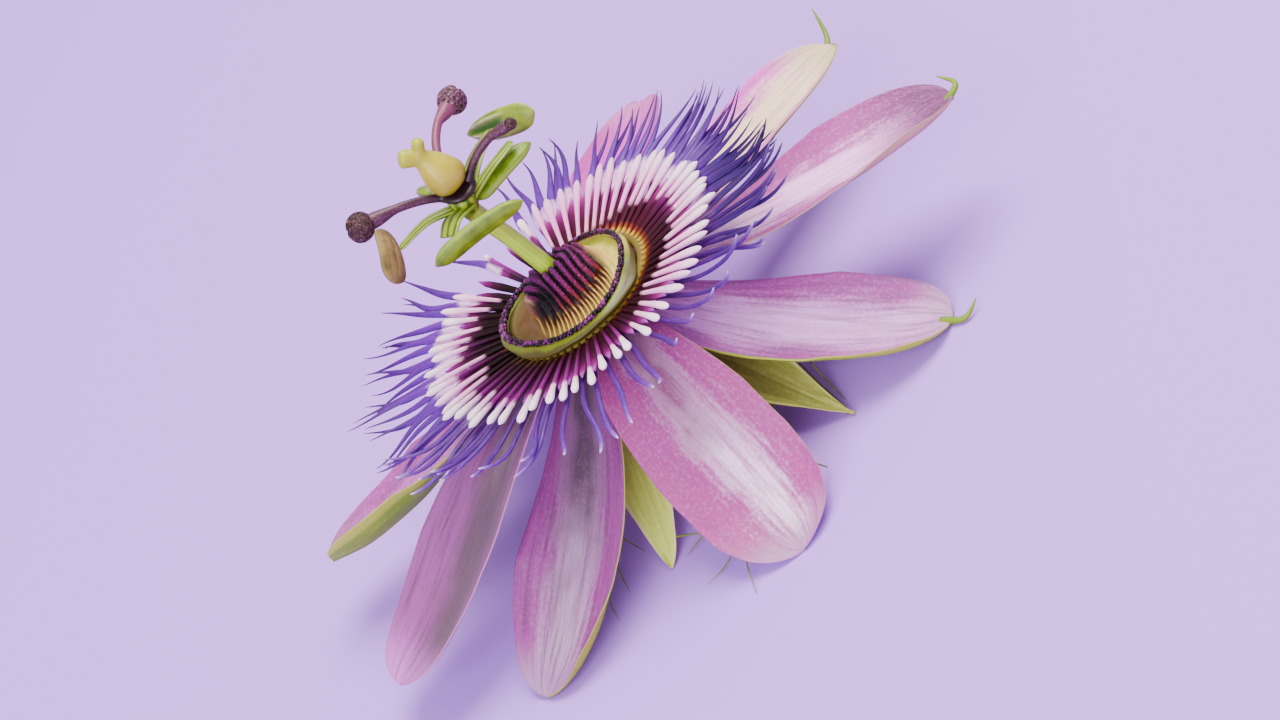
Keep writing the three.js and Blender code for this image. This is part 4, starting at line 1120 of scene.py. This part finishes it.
def rim_beads():
    """A crowded ring of knobs on the rim, in rows round a soft core."""
    body = Body()
    draw = draws(BEAD["seed"])
    around = [*np.linspace(0, 2 * math.pi, 10, endpoint=False), 0.0]
    radii = CUP["rim"] - BEAD["core"] * np.cos(around)
    core = turned(np.stack([radii, BEAD["height"] + BEAD["core"] * np.sin(around)], -1), 120)
    core = leaned(core, np.ones(core.shape[:2]))
    body.add(core, grid(len(core), 120, closed=True), np.zeros((core.size // 3, 2)), tint=(0.1, 0.0))
    points, faces = ball(2)
    for column in range(BEAD["columns"]):
        for row in range(BEAD["rows"]):
            azimuth = (column + 0.5 * (row % 2) + (next(draw) - 0.5) * 0.5) * 360 / BEAD["columns"]
            angle = math.radians(row * 360 / BEAD["rows"] + 20 + (next(draw) - 0.5) * 24)
            left = float(bell(azimuth, *SLIM))
            spread = BEAD["spread"] * (1 + 0.9 * left)
            height = BEAD["height"] + math.sin(angle) * spread
            centre = polar(CUP["rim"] + math.cos(angle) * spread, azimuth, height)
            size = BEAD["size"] * (0.62 + 0.5 * next(draw))
            tint = (next(draw), left * 0.8)
            body.add(points * size + leaned(centre, 1.0), faces, np.zeros((len(points), 2)), tint=tint)
    return body.build("rim_knobs", [bead_skin()])


def pleated_operculum():
    """The membrane in the cup. Its dome carries even, grainy ridges that sweep from the back
    to the front and run out in fine pleats, and its sides are smooth."""
    columns = OPERCULUM["columns"]
    profile = curve_through([[radius, 0, height] for radius, height in OPERCULUM["profile"]], 120)
    radius, height = profile[:, 0], profile[:, 2]
    slope = unit(np.gradient(profile, axis=0))
    outward = np.stack([slope[:, 2], -slope[:, 0]], -1)
    angle = np.arange(columns) / columns * 2 * math.pi
    azimuth = np.degrees(-angle) % 360
    x = radius[:, None] * np.cos(angle)[None]
    y = radius[:, None] * np.sin(angle)[None]
    dome = 1 - smooth(radius, 4.9, 6.0)[:, None]
    fan = 1 + 0.06 * np.maximum(0, radius - 4.5)[:, None]
    swept = x - 1.0 * smooth(-y, -2.5, 2.5) + 0.5
    count = swept / (OPERCULUM["ridge"] * fan) + 0.16 * waves(x * 1.1, y * 0.8, seed=71)
    wide = 1 - np.abs(2 * (count % 1) - 1) ** 1.7
    fine = 0.5 + 0.5 * np.cos(4 * math.pi * (count + 0.5))
    front = smooth(-y, -1.0, 2.0) * smooth(x, -6.2, -4.6) * (1 - smooth(x, 4.4, 5.6))
    top = (1 - smooth(np.abs(x), 4.0, 4.9)) * dome
    crest = wide * dome + fine * (1 - dome)
    strength = np.maximum(front, top)
    hollow = bell(azimuth, 138, 27)[None] * bell(radius, 4.4, 1.7)[:, None]
    brow = 0.75 * bell(radius, 2.3, 1.0)[:, None] * smooth(-y, -1.4, 1.2)
    grain = np.abs(np.sin(13 * x + 2 * np.sin(5 * y)) * np.sin(13 * y + 2 * np.sin(5 * x)))
    lift = strength * ((wide - 0.7) * 0.46 * dome + (fine - 0.5) * 0.16 * (1 - dome)) - 0.8 * hollow
    lift = lift + 0.26 * (1 - strength) * waves(x * 1.6, y * 1.6, seed=19) * (1 - dome)
    lift = lift + dome * strength * 0.09 * grain * wide
    lift = (lift + brow) * smooth(radius, 1.5, 1.9)[:, None] * (1 - smooth(radius, 7.4, 7.9))[:, None]
    out = radius[:, None] + lift * outward[:, :1]
    upper = np.stack([out * np.cos(angle), out * np.sin(angle), height[:, None] + lift * outward[:, 1:]], -1)
    upper = leaned(upper, np.broadcast_to(smooth(radius, 5.6, 7.6)[:, None], upper.shape[:2]))
    below = turned(OPERCULUM["underside"], columns)
    rings = np.concatenate([below, upper, below[:1]])
    faces = grid(len(rings), columns, closed=True)
    share = np.interp(radius, [OPERCULUM["hole"], OPERCULUM["edge"]], [1.0, 0.0])
    run = np.zeros((len(rings), columns, 2))
    tint = np.zeros((len(rings), columns, 2))
    shown = slice(len(below), len(below) + len(upper))
    run[shown, :, 0] = share[:, None]
    # Painted shade: the hollow at the front left is marked here so that its skin is painted near black.
    run[shown, :, 1] = np.clip(hollow * 2.0 - 0.5, 0, 1)
    tint[shown, :, 0] = crest * (0.75 + 0.5 * grain * dome)
    tint[shown, :, 1] = strength
    body = Body()
    body.add(rings, faces, run, tint=tint.reshape(-1, 2))
    return body.build("pleated_operculum", [operculum_skin()])


# ---- the column and what it carries ----


def column():
    path = curve_through(COLUMN["route"], 60)
    share = np.linspace(0, 1, len(path))
    radii = COLUMN["radius"] * (1 + 0.3 * smooth(share, 0.42, 0.2) + 0.04 * np.sin(share * 7))
    body = Body()
    body.add(*limb(path, radii, radii, 48, RIGHT, ribs=5, rib_depth=0.02), tint=(0.3, 0.0))
    return body.build("column", [column_flesh("column_flesh", "#b8d834", "#789c14", 1.0, 0.12)])


def sleeve_and_straps():
    """The striped sleeve round the column, and the five straps that carry the anthers."""
    body = Body()
    path = curve_through(SLEEVE["route"], 16)
    radii = np.linspace(SLEEVE["radius"], SLEEVE["top"], len(path))
    radii[0] *= 0.9
    body.add(*limb(path, radii, radii, 60, RIGHT, ribs=16, rib_depth=0.035), tint=(0.1, 0.0))
    for number, stamen in enumerate(STAMENS):
        path = curve_through(stamen["route"], 34)
        share = np.linspace(0, 1, len(path))
        widths = stamen["strap"] * 0.66 * (1.1 - 0.35 * share)
        depths = STRAP["thickness"] / 2 * (1 - 0.45 * share)
        widths[-1], depths[-1] = widths[-1] * 0.5, depths[-1] * 0.5
        hint = unit(np.cross(UP, path[-1] - path[0]))
        body.add(*limb(path, widths, depths, 32, hint, ribs=8, rib_depth=0.06), tint=(number / 5, 1.0))
    return body.build("stamen_straps", [column_flesh("strap_flesh", "#98a828", "#44640c", 4.0, 0.34)])


def anther_frame(stamen):
    axis = unit(stamen["along"])
    outward = np.array(stamen["back"], float)
    outward = unit(outward - (outward @ axis) * axis)
    seat = ANTHER["thickness"] / 2 + STRAP["thickness"] / 2 + GAP
    middle = np.array(stamen["route"][2]) - outward * seat + axis * stamen["slide"]
    return axis, outward, middle


def anther(number, stamen, material):
    """A sac with a blunt and a narrower end, grooved along its faces or split open."""
    axis, outward, middle = anther_frame(stamen)
    side = np.cross(outward, axis)
    share = (1 - np.cos(np.linspace(0, 1, 61) * math.pi)) / 2
    offset = share - 0.5
    stations = [0.0, 0.08, 0.2, 0.4, 0.6, 0.8, 0.93, 1.0]
    swell = np.interp(share, stations, stamen["shape"])
    swell = np.convolve(np.pad(swell, 2, mode="reflect", reflect_type="odd"), np.ones(5) / 5, mode="valid")
    round_ends = np.sqrt(np.clip(1 - np.abs(2 * offset) ** 8, 0.002, 1))
    path = middle + np.outer(offset * stamen["length"], axis) - np.outer(ANTHER["bow"] * offset**2, outward)
    widths = ANTHER["width"] / 2 * swell * round_ends
    depths = ANTHER["thickness"] / 2 * np.sqrt(swell) * round_ends
    sides = 72
    points, faces, run = limb(path, widths, depths, sides, side)
    ring = points[:-2].reshape(len(path), sides, 3)
    angle = np.arange(sides) / sides * 2 * math.pi + math.pi / 2
    across, above = np.cos(angle), np.sin(angle) > 0
    inward = unit(path[:, None] - ring)
    groove = 0.14 * bell(across, 0, 0.1) + 0.09 * bell(np.abs(across), 0.55, 0.09)
    shaped = smooth(share, 0.03, 0.14) * (1 - smooth(share, 0.86, 0.97))
    dent = shaped[:, None] * groove * stamen.get("groove", 1)
    opened = stamen.get("open", 0)
    slit = smooth(share, 0.1, 0.2) * (1 - smooth(share, 0.55, 0.72))
    inside = slit[:, None] * (smooth(across, -0.25, -0.1) * (1 - smooth(across, 0.5, 0.62)) * above)[None]
    lip = slit[:, None] * ((bell(across, -0.34, 0.07) + 0.6 * bell(across, 0.68, 0.06)) * above)[None]
    tint = np.zeros((len(points), 2))
    if opened:
        dent = opened * inside - 0.16 * lip
        tint[:-2, 0] = inside.ravel()
        tint[:-2, 1] = np.clip(lip, 0, 1).ravel()
    ring = ring + inward * dent[..., None] * smooth(depths, 0.1, 0.5)[:, None, None]
    points = np.concatenate([ring.reshape(-1, 3), points[-2:]])
    body = Body()
    body.add(points, faces, run, tint=tint)
    return body.build(f"anther_sac_{number + 1}", [material])


def ovary():
    """The ovary with its narrow neck and two-lobed head, grown into one skin."""
    bottom, neck = np.array(OVARY["bottom"]), np.array(OVARY["neck"])
    body = Body()
    share = np.linspace(-0.08, 1.1, 60)
    places = [-0.08, -0.04, 0.04, 0.12, 0.27, 0.5, 0.75, 0.95, 1.1]
    scales = [0.74, 0.88, 0.97, 1.0, 1.0, 0.86, 0.62, 0.42, 0.4]
    radii = OVARY["width"] / 2 * np.interp(share, places, scales)
    radii = np.convolve(np.pad(radii, 2, mode="edge"), np.ones(5) / 5, mode="valid")
    path = bottom + np.outer(share, neck - bottom)
    body.add(*limb(path, radii, radii, 60, RIGHT, ribs=6, rib_depth=0.018))
    steps = np.linspace(0, 1, 20)
    for lobe, size in zip(OVARY["lobes"], OVARY["lobe_sizes"]):
        start = neck - [0, 0, 0.4]
        path = start + np.outer(steps, neck + lobe - start)
        sizes = size * np.interp(steps, [0, 0.3, 0.7, 0.88, 0.97, 1.0], [0.95, 0.9, 1.0, 0.95, 0.65, 0.25])
        body.add(*limb(path, sizes, sizes, 24, RIGHT))
    return melted(body.build("ovary_and_head", [ovary_wax()]), 0.16, 8)


def collar_and_styles():
    """The dark collar under the ovary, and the three styles that leave it and widen into
    their stigmas."""
    body = Body()
    path = curve_through(COLLAR["route"], 14)
    share = np.linspace(0, 1, len(path))
    radii = COLLAR["radius"] * np.interp(share, [0, 0.12, 0.5, 0.85, 1.0], [0.6, 0.8, 1.0, 0.97, 0.8])
    body.add(*limb(path, radii, radii, 48, RIGHT))
    for route, radius in zip(STYLES, STIGMA["radii"]):
        path = curve_through(route, 40)
        ahead = unit(path[-1] - path[-2])
        further = np.linspace(0.1, 0.45, 4) * radius + GAP
        path = np.concatenate([path, path[-1] + np.outer(further, ahead)])
        share = np.linspace(0, 1, len(path))
        widen = 0.22 * radius * smooth(share, 0.6, 1.0)
        radii = 0.5 + 0.08 * share + widen + 0.25 * smooth(share, 0.12, 0.0)
        body.add(*limb(path, radii, radii, 24, unit([0, 1, 0.2])))
    return melted(body.build("collar_and_styles", [speckled_skin()]), 0.13, 4)


def stigma(number, route, material):
    """A knob covered with grains, each a small round rise."""
    end = np.array(route[-1])
    size = STIGMA["radii"][number]
    ahead = unit(end - np.array(route[-2]))
    centre = end + ahead * (size + GAP)
    points, faces = ball(5)
    points = unit(points)
    count = int(STIGMA["grains"] * size / STIGMA["radii"][0])
    turn = (np.arange(count) + 0.5) / count
    spin = np.arange(count) * math.pi * (1 + math.sqrt(5)) + number
    level = 1 - 2 * turn
    flat = np.sqrt(1 - level**2)
    seeds = np.stack([flat * np.cos(spin), flat * np.sin(spin), level], -1)
    seeds = unit(seeds + 0.05 * np.sin(seeds[:, [1, 2, 0]] * 37 + number))
    nearest = np.sqrt(np.maximum(0, 2 - 2 * (points @ seeds.T).max(1)))
    rise = np.sqrt(np.clip(1 - (nearest / (2.4 / math.sqrt(count))) ** 2, 0, 1))
    lobes = 0.07 * waves(points[:, 0] * 3, points[:, 1] * 3 + points[:, 2] * 2, seed=7 + number)
    seam = -0.12 * bell(points[:, 0], 0.1, 0.14) * smooth(points[:, 2], -0.2, 0.5)
    shaped = points * (size * (0.9 + lobes + seam) + 0.13 * rise)[:, None]
    shaped[:, 2] *= STIGMA["flatness"]
    turned_to = np.array(Vector((0, 0, 1)).rotation_difference(Vector(ahead)).to_matrix())
    body = Body()
    placed = shaped @ turned_to.T + centre
    body.add(placed, faces, np.zeros((len(points), 2)), tint=np.column_stack([rise, rise]))
    return body.build(f"stigma_knob_{number + 1}", [material])


# ---- petals, sepals and bracts ----


def outline(share, base_share, widest, roundness, blunt=0.5):
    """Half width along a blade, as a share of its widest."""
    rest = np.clip((share - widest) / (1 - widest), 0, 1)
    far = np.maximum(0.04, (1 - rest**roundness) ** blunt)
    near = base_share + (1 - base_share) * np.sin(np.clip(share / widest, 0, 1) * math.pi / 2)
    return np.where(share < widest, near, far)


def blade(body, spec, start, phase, form, thickness, steps, columns, relief):
    """A thin curved blade with its face, its back and a fine rim between them."""
    tip = np.array(spec["tip"])
    span = tip - start
    reach = np.linalg.norm(span)
    level = unit(span * [1, 1, 0])
    heading = polar(1, spec["azimuth"], 0)
    rise, drop = math.radians(spec["rise"]), math.radians(spec["drop"])
    leave = heading * math.cos(rise) + UP * math.sin(rise)
    arrive = level * math.cos(drop) - UP * math.sin(drop)
    handle = BLADE["handle"] * reach
    first, second = start + leave * handle, tip - arrive * handle
    share = 1 - (1 - np.linspace(0, 1, steps + 1)) ** 1.5
    t = share[:, None]
    spine = (1 - t) ** 3 * start + 3 * (1 - t) ** 2 * t * first + 3 * (1 - t) * t**2 * second + t**3 * tip
    ahead = (1 - t) ** 2 * (first - start) + 2 * (1 - t) * t * (second - first) + t**2 * (tip - second)
    ahead = unit(ahead)
    hint = np.cross(UP, level)
    flat = unit(hint - (ahead @ hint)[:, None] * ahead)
    turn = np.radians(spec["roll"] * share)[:, None]
    side = flat * np.cos(turn) + np.cross(ahead, flat) * np.sin(turn)
    face = np.cross(ahead, side)
    half = spec["width"] / 2 * outline(share, *form)
    crowding = BLADE["crowding"]
    q = np.sin(np.linspace(-1, 1, columns + 1) * math.pi / 2 * crowding) / math.sin(math.pi / 2 * crowding)
    fold = spec["fold"]
    ragged = 1 + 0.02 * waves(share[:, None] * 16, np.sign(q)[None] * 2.0, seed=3 + phase) * np.abs(q) ** 3
    cup = fold * half[:, None] * q**2 * np.minimum(1, share * BLADE["growth"])[:, None] ** 2
    ripple = spec["wave"] * q**2 * t * np.sin(share[:, None] * 9 + q * 1.3 + phase)
    edge_side, where, amount = spec["margin"]
    rolled = smooth(t, where, where + 0.25) * (1 - smooth(t, 0.86, 1.0))
    curl = amount * smooth(q * edge_side, 0.78, 1.0) * rolled
    lift = cup + ripple + relief(share[:, None], q[None]) + curl
    out = half[:, None] * q * (1 - 0.2 * fold * q**2) * ragged - edge_side * 0.75 * curl
    upper = spine[:, None] + side[:, None] * out[..., None] + face[:, None] * lift[..., None]
    thick = thickness * (1 - 0.62 * np.abs(q) ** 5) * np.interp(share, [0, 0.9, 1.0], [1, 0.8, 0.4])[:, None]
    keel = spec["keel"] * bell(q, 0, 0.1) * smooth(share, 0.1, 0.5)[:, None]
    lower = upper - face[:, None] * (thick + keel)[..., None]
    sunk = np.maximum(0, SURFACE + 0.03 - lower[..., 2])
    upper[..., 2] += sunk
    lower[..., 2] += sunk
    rows, wide = steps + 1, columns + 1
    faces_up = [tuple(reversed(corners)) for corners in grid(rows, wide)]
    run = np.stack(np.meshgrid(share, (q + 1) / 2, indexing="ij"), -1)
    below = rows * wide
    faces_low = [tuple(corner + below for corner in reversed(corners)) for corners in faces_up]
    rim = []
    for row in range(rows - 1):
        a, b = row * wide, (row + 1) * wide
        rim.append((a, a + below, b + below, b))
        a, b = a + columns, b + columns
        rim.append((a, b, b + below, a + below))
    last = (rows - 1) * wide
    for column in range(columns):
        rim.append((column, column + 1, column + 1 + below, column + below))
        a = last + column
        rim.append((a, a + below, a + 1 + below, a + 1))
    points = np.concatenate([upper.reshape(-1, 3), lower.reshape(-1, 3)])
    guides_run = np.concatenate([run.reshape(-1, 2)] * 2)
    base = body.count
    body.add(points, faces_up, guides_run)
    body.faces += [tuple(corner + base for corner in corners) for corners in [*faces_low, *rim]]
    body.finish += [1] * (len(faces_low) + len(rim))


def tepal_relief(number):
    """Channels along a petal, softer ribs between them, and a slight unevenness, in mm."""

    def relief(share, q):
        grow = smooth(share, 0.05, 0.3) * (1 - smooth(share, 0.86, 1.0))
        channels = -0.16 * bell(q, 0.06, 0.07) - 0.1 * bell(q, -0.32, 0.08) - 0.1 * bell(q, 0.4, 0.09)
        ribs = 0.035 * np.cos(q * 34 + 0.7 * np.sin(share * 7))
        soft = 0.22 * waves(share * 9, q * 3, seed=31 + number)
        return grow * (channels + ribs) + soft * smooth(share, 0.1, 0.4)

    return relief


def tepal(spec, number, backs):
    start = polar(BLADE["start"], spec["azimuth"], LAYERS[spec["layer"]])
    body = Body()
    green = spec["name"].startswith("sepal")
    form = (0.5, 0.58, spec["roundness"])
    shape = {**spec, "keel": 0.5 if green else 0.0}
    size = (BLADE["thickness"], BLADE["steps"], BLADE["columns"])
    blade(body, shape, start, number, form, *size, tepal_relief(number))
    if spec["awn"]:
        tip = np.array(spec["tip"])
        inward = unit(start - tip)
        root = tip + inward * AWN["inset"] - AWN["below"] * UP
        path = curve_through([root, *(tip + np.array(offset) for offset in spec["awn"])], 28)
        stations = np.linspace(0, 1, len(AWN["radii"]))
        radii = np.interp(np.linspace(0, 1, len(path)), stations, AWN["radii"])
        points, faces, run = limb(path, radii, radii, 12, unit(np.cross(UP, inward)))
        points[:, 2] = np.maximum(points[:, 2], SURFACE + 0.02)
        body.add(points, faces, run * [0, 0.3] + [0.9, 0.35], finish=2)
    back = backs[spec.get("back", "sepal" if green else "petal")]
    skins = [petal_face(spec), back]
    return body.build(spec["name"] + "_blade", skins + [backs["sepal"]] if spec["awn"] else skins)


def bract(spec, number):
    """A small leaf under the flower, with a midrib and side veins, and a drawn-out tip."""

    def relief(share, q):
        midrib = -0.2 * bell(q, 0, 0.06)
        side_veins = 0.05 * np.cos((share * 26 - np.abs(q) * 9)) * (1 - bell(q, 0, 0.12))
        soft = 0.15 * waves(share * 8, q * 3, seed=51 + number)
        return smooth(share, 0.05, 0.2) * (midrib + side_veins) + soft

    body = Body()
    start = polar(STALK["radius"] + 1.0, spec["azimuth"], spec["height"])
    shape = {**USUAL, **spec, "fold": 0.15, "wave": 0.3, "keel": 0.25}
    blade(body, shape, start, number * 2, (0.35, 0.4, 1.5, spec["blunt"]), 0.45, 80, 34, relief)
    face = blade_back(spec["name"] + "_face", spec["face"], spec["deep"], spec["rim"])
    back = blade_back(spec["name"] + "_back", spec["face"], spec["deep"], spec["rim"])
    return body.build(spec["name"] + "_leaf", [face, back])


def bract_hairs():
    """Thin hairs that hang from under the bracts, petals and sepals down to the surface."""
    body = Body()
    for points in HAIRS:
        path = curve_through(points, 18)
        radii = np.interp(np.linspace(0, 1, len(path)), [0, 0.7, 1], [0.12, 0.09, 0.03])
        body.add(*limb(path, radii, radii, 6, UP), tint=(0.5, 0.0))
    return body.build("bract_hairs", [blade_back("hair_skin", "#7c8c2c", "#50641c", "#8c9840")])


# ---- stage, light and camera ----

# The camera looks down on the flower from the front, rolled so that the flower leans left.
# aim is how far to the right and up across its view it is moved, and pixel the size of a
# dot of the picture at the flower.
CAMERA = {"elevation": 30.0, "roll": 43.0, "distance": 500.0, "aim": [0.358, -10.33], "pixel": 0.116}
FRAME_WIDTH = 1280
SENSOR = 36.0


def camera():
    raised = math.radians(CAMERA["elevation"])
    ahead = np.array([0, math.cos(raised), -math.sin(raised)])
    above = np.array([0, math.sin(raised), math.cos(raised)])
    aim = CAMERA["aim"][0] * RIGHT + CAMERA["aim"][1] * above
    roll = math.radians(CAMERA["roll"])
    across = RIGHT * math.cos(roll) - above * math.sin(roll)
    upward = RIGHT * math.sin(roll) + above * math.cos(roll)
    place = (aim - ahead * CAMERA["distance"] + ORIGIN) * MM
    data = bpy.data.cameras.new("camera")
    data.sensor_width = SENSOR
    data.lens = SENSOR * CAMERA["distance"] / (FRAME_WIDTH * CAMERA["pixel"])
    data.clip_start, data.clip_end = 0.02, 10.0
    made = bpy.data.objects.new("camera", data)
    bpy.context.scene.collection.objects.link(made)
    axes = np.stack([across, upward, -ahead], 1)
    made.matrix_world = Matrix([[*row, where] for row, where in zip(axes, place)] + [[0, 0, 0, 1]])
    bpy.context.scene.camera = made


def soft_light(name, place, size, power, colour):
    """A square soft box that faces the flower, with its place and size in metres."""
    data = bpy.data.lights.new(name, "AREA")
    data.size = size
    data.energy = power
    data.color = paint(colour)[:3]
    made = bpy.data.objects.new(name, data)
    bpy.context.scene.collection.objects.link(made)
    made.location = place
    target = Vector((0, 0, 0.02))
    made.rotation_euler = (target - Vector(place)).to_track_quat("-Z", "Y").to_euler()


def studio():
    world = bpy.data.worlds.new("studio")
    world.use_nodes = True
    background = world.node_tree.nodes["Background"]
    background.inputs["Color"].default_value = paint("#f4f0fa")
    background.inputs["Strength"].default_value = 0.85
    bpy.context.scene.world = world
    soft_light("key", (0.28, 0.1, 0.62), 0.5, 11.0, "#fffaf2")
    soft_light("fill", (-0.35, -0.6, 0.35), 0.6, 10.0, "#f4f0ff")
    floor = Body()
    reach = 1600.0
    corners = [(-reach, -reach), (reach, -reach), (reach, reach), (-reach, reach)]
    floor.add([(x, y, SURFACE) for x, y in corners], [(0, 1, 2, 3)], np.zeros((4, 2)))
    card = floor.build("floor", [floor_card()])
    # A hair lower than the surface, so that what touches the surface stays in sight.
    card.location.z = -0.02 * MM


# ---- the flower ----


def place(piece, slot, *nodes):
    """The piece stands for its nodes of the model, and rides on its one body."""
    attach(piece, "root")
    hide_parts(*nodes)


camera()
studio()
place(tube_and_stalk(), "green_tube", "floral_tube")
place(crown_outside(), "violet_filaments", "corona_outer")
place(crown_inside(), "white_clubs", "corona_inner")
place(rim_beads(), "purple_beads", "cup_beads")
place(pleated_operculum(), "pleated_operculum", "operculum")
place(column(), "green_column", "androgynophore")
place(sleeve_and_straps(), "green_column", "stamen_filaments")
fresh = anther_skin("fresh_anther", "#7c9a16", "#4c6608", "#8ca428", 0.36)
dusty = anther_skin("dusty_anther", "#8a7038", "#584424", "#84803a", 0.7)
pale = anther_skin("pale_anther", "#8a9c2c", "#5c7614", "#b4be4c", 0.4)
for number, (stamen, skin) in enumerate(zip(STAMENS, [fresh, dusty, pale, fresh, fresh])):
    place(anther(number, stamen, skin), "green_anther", f"anther_{number + 1}")
place(ovary(), "cream_ovary", "ovary")
place(collar_and_styles(), "purple_style", "styles")
pink_grain = stigma_grain("pink_grain", [
    (0.3, "#10060a"), (0.46, "#2c161c"), (0.56, "#4c2c38"), (0.66, "#7a4c60"), (0.78, "#d8a8c0"),
])
# The same grain, darker: painted shade for the second and third stigmas.
shaded_grain = stigma_grain("shaded_grain", [
    (0.3, "#080304"), (0.46, "#1c0c0c"), (0.58, "#341c1c"), (0.7, "#603c40"), (0.82, "#c090a0"),
])
for number, (route, grain) in enumerate(zip(STYLES, [pink_grain, shaded_grain, shaded_grain])):
    place(stigma(number, route, grain), "granular_stigma", f"stigma_{number + 1}")
backs = {
    "sepal": blade_back("sepal_back", "#86a420", "#5c8010", "#a4b038"),
    "mauve": blade_back("mauve_back", "#a06c8c", "#74446a", "#b49078"),
    "petal": blade_back("petal_back", "#c480c0", "#985c94", "#c070b0"),
}
for number, spec in enumerate(TEPALS):
    piece = tepal({**USUAL, **spec}, number, backs)
    place(piece, "pink_" + spec["name"].split("_")[0], spec["name"])
for number, spec in enumerate(BRACTS):
    place(bract(spec, number), "green_bract", spec["name"])
hairs = bract_hairs()
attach(hairs, "root")
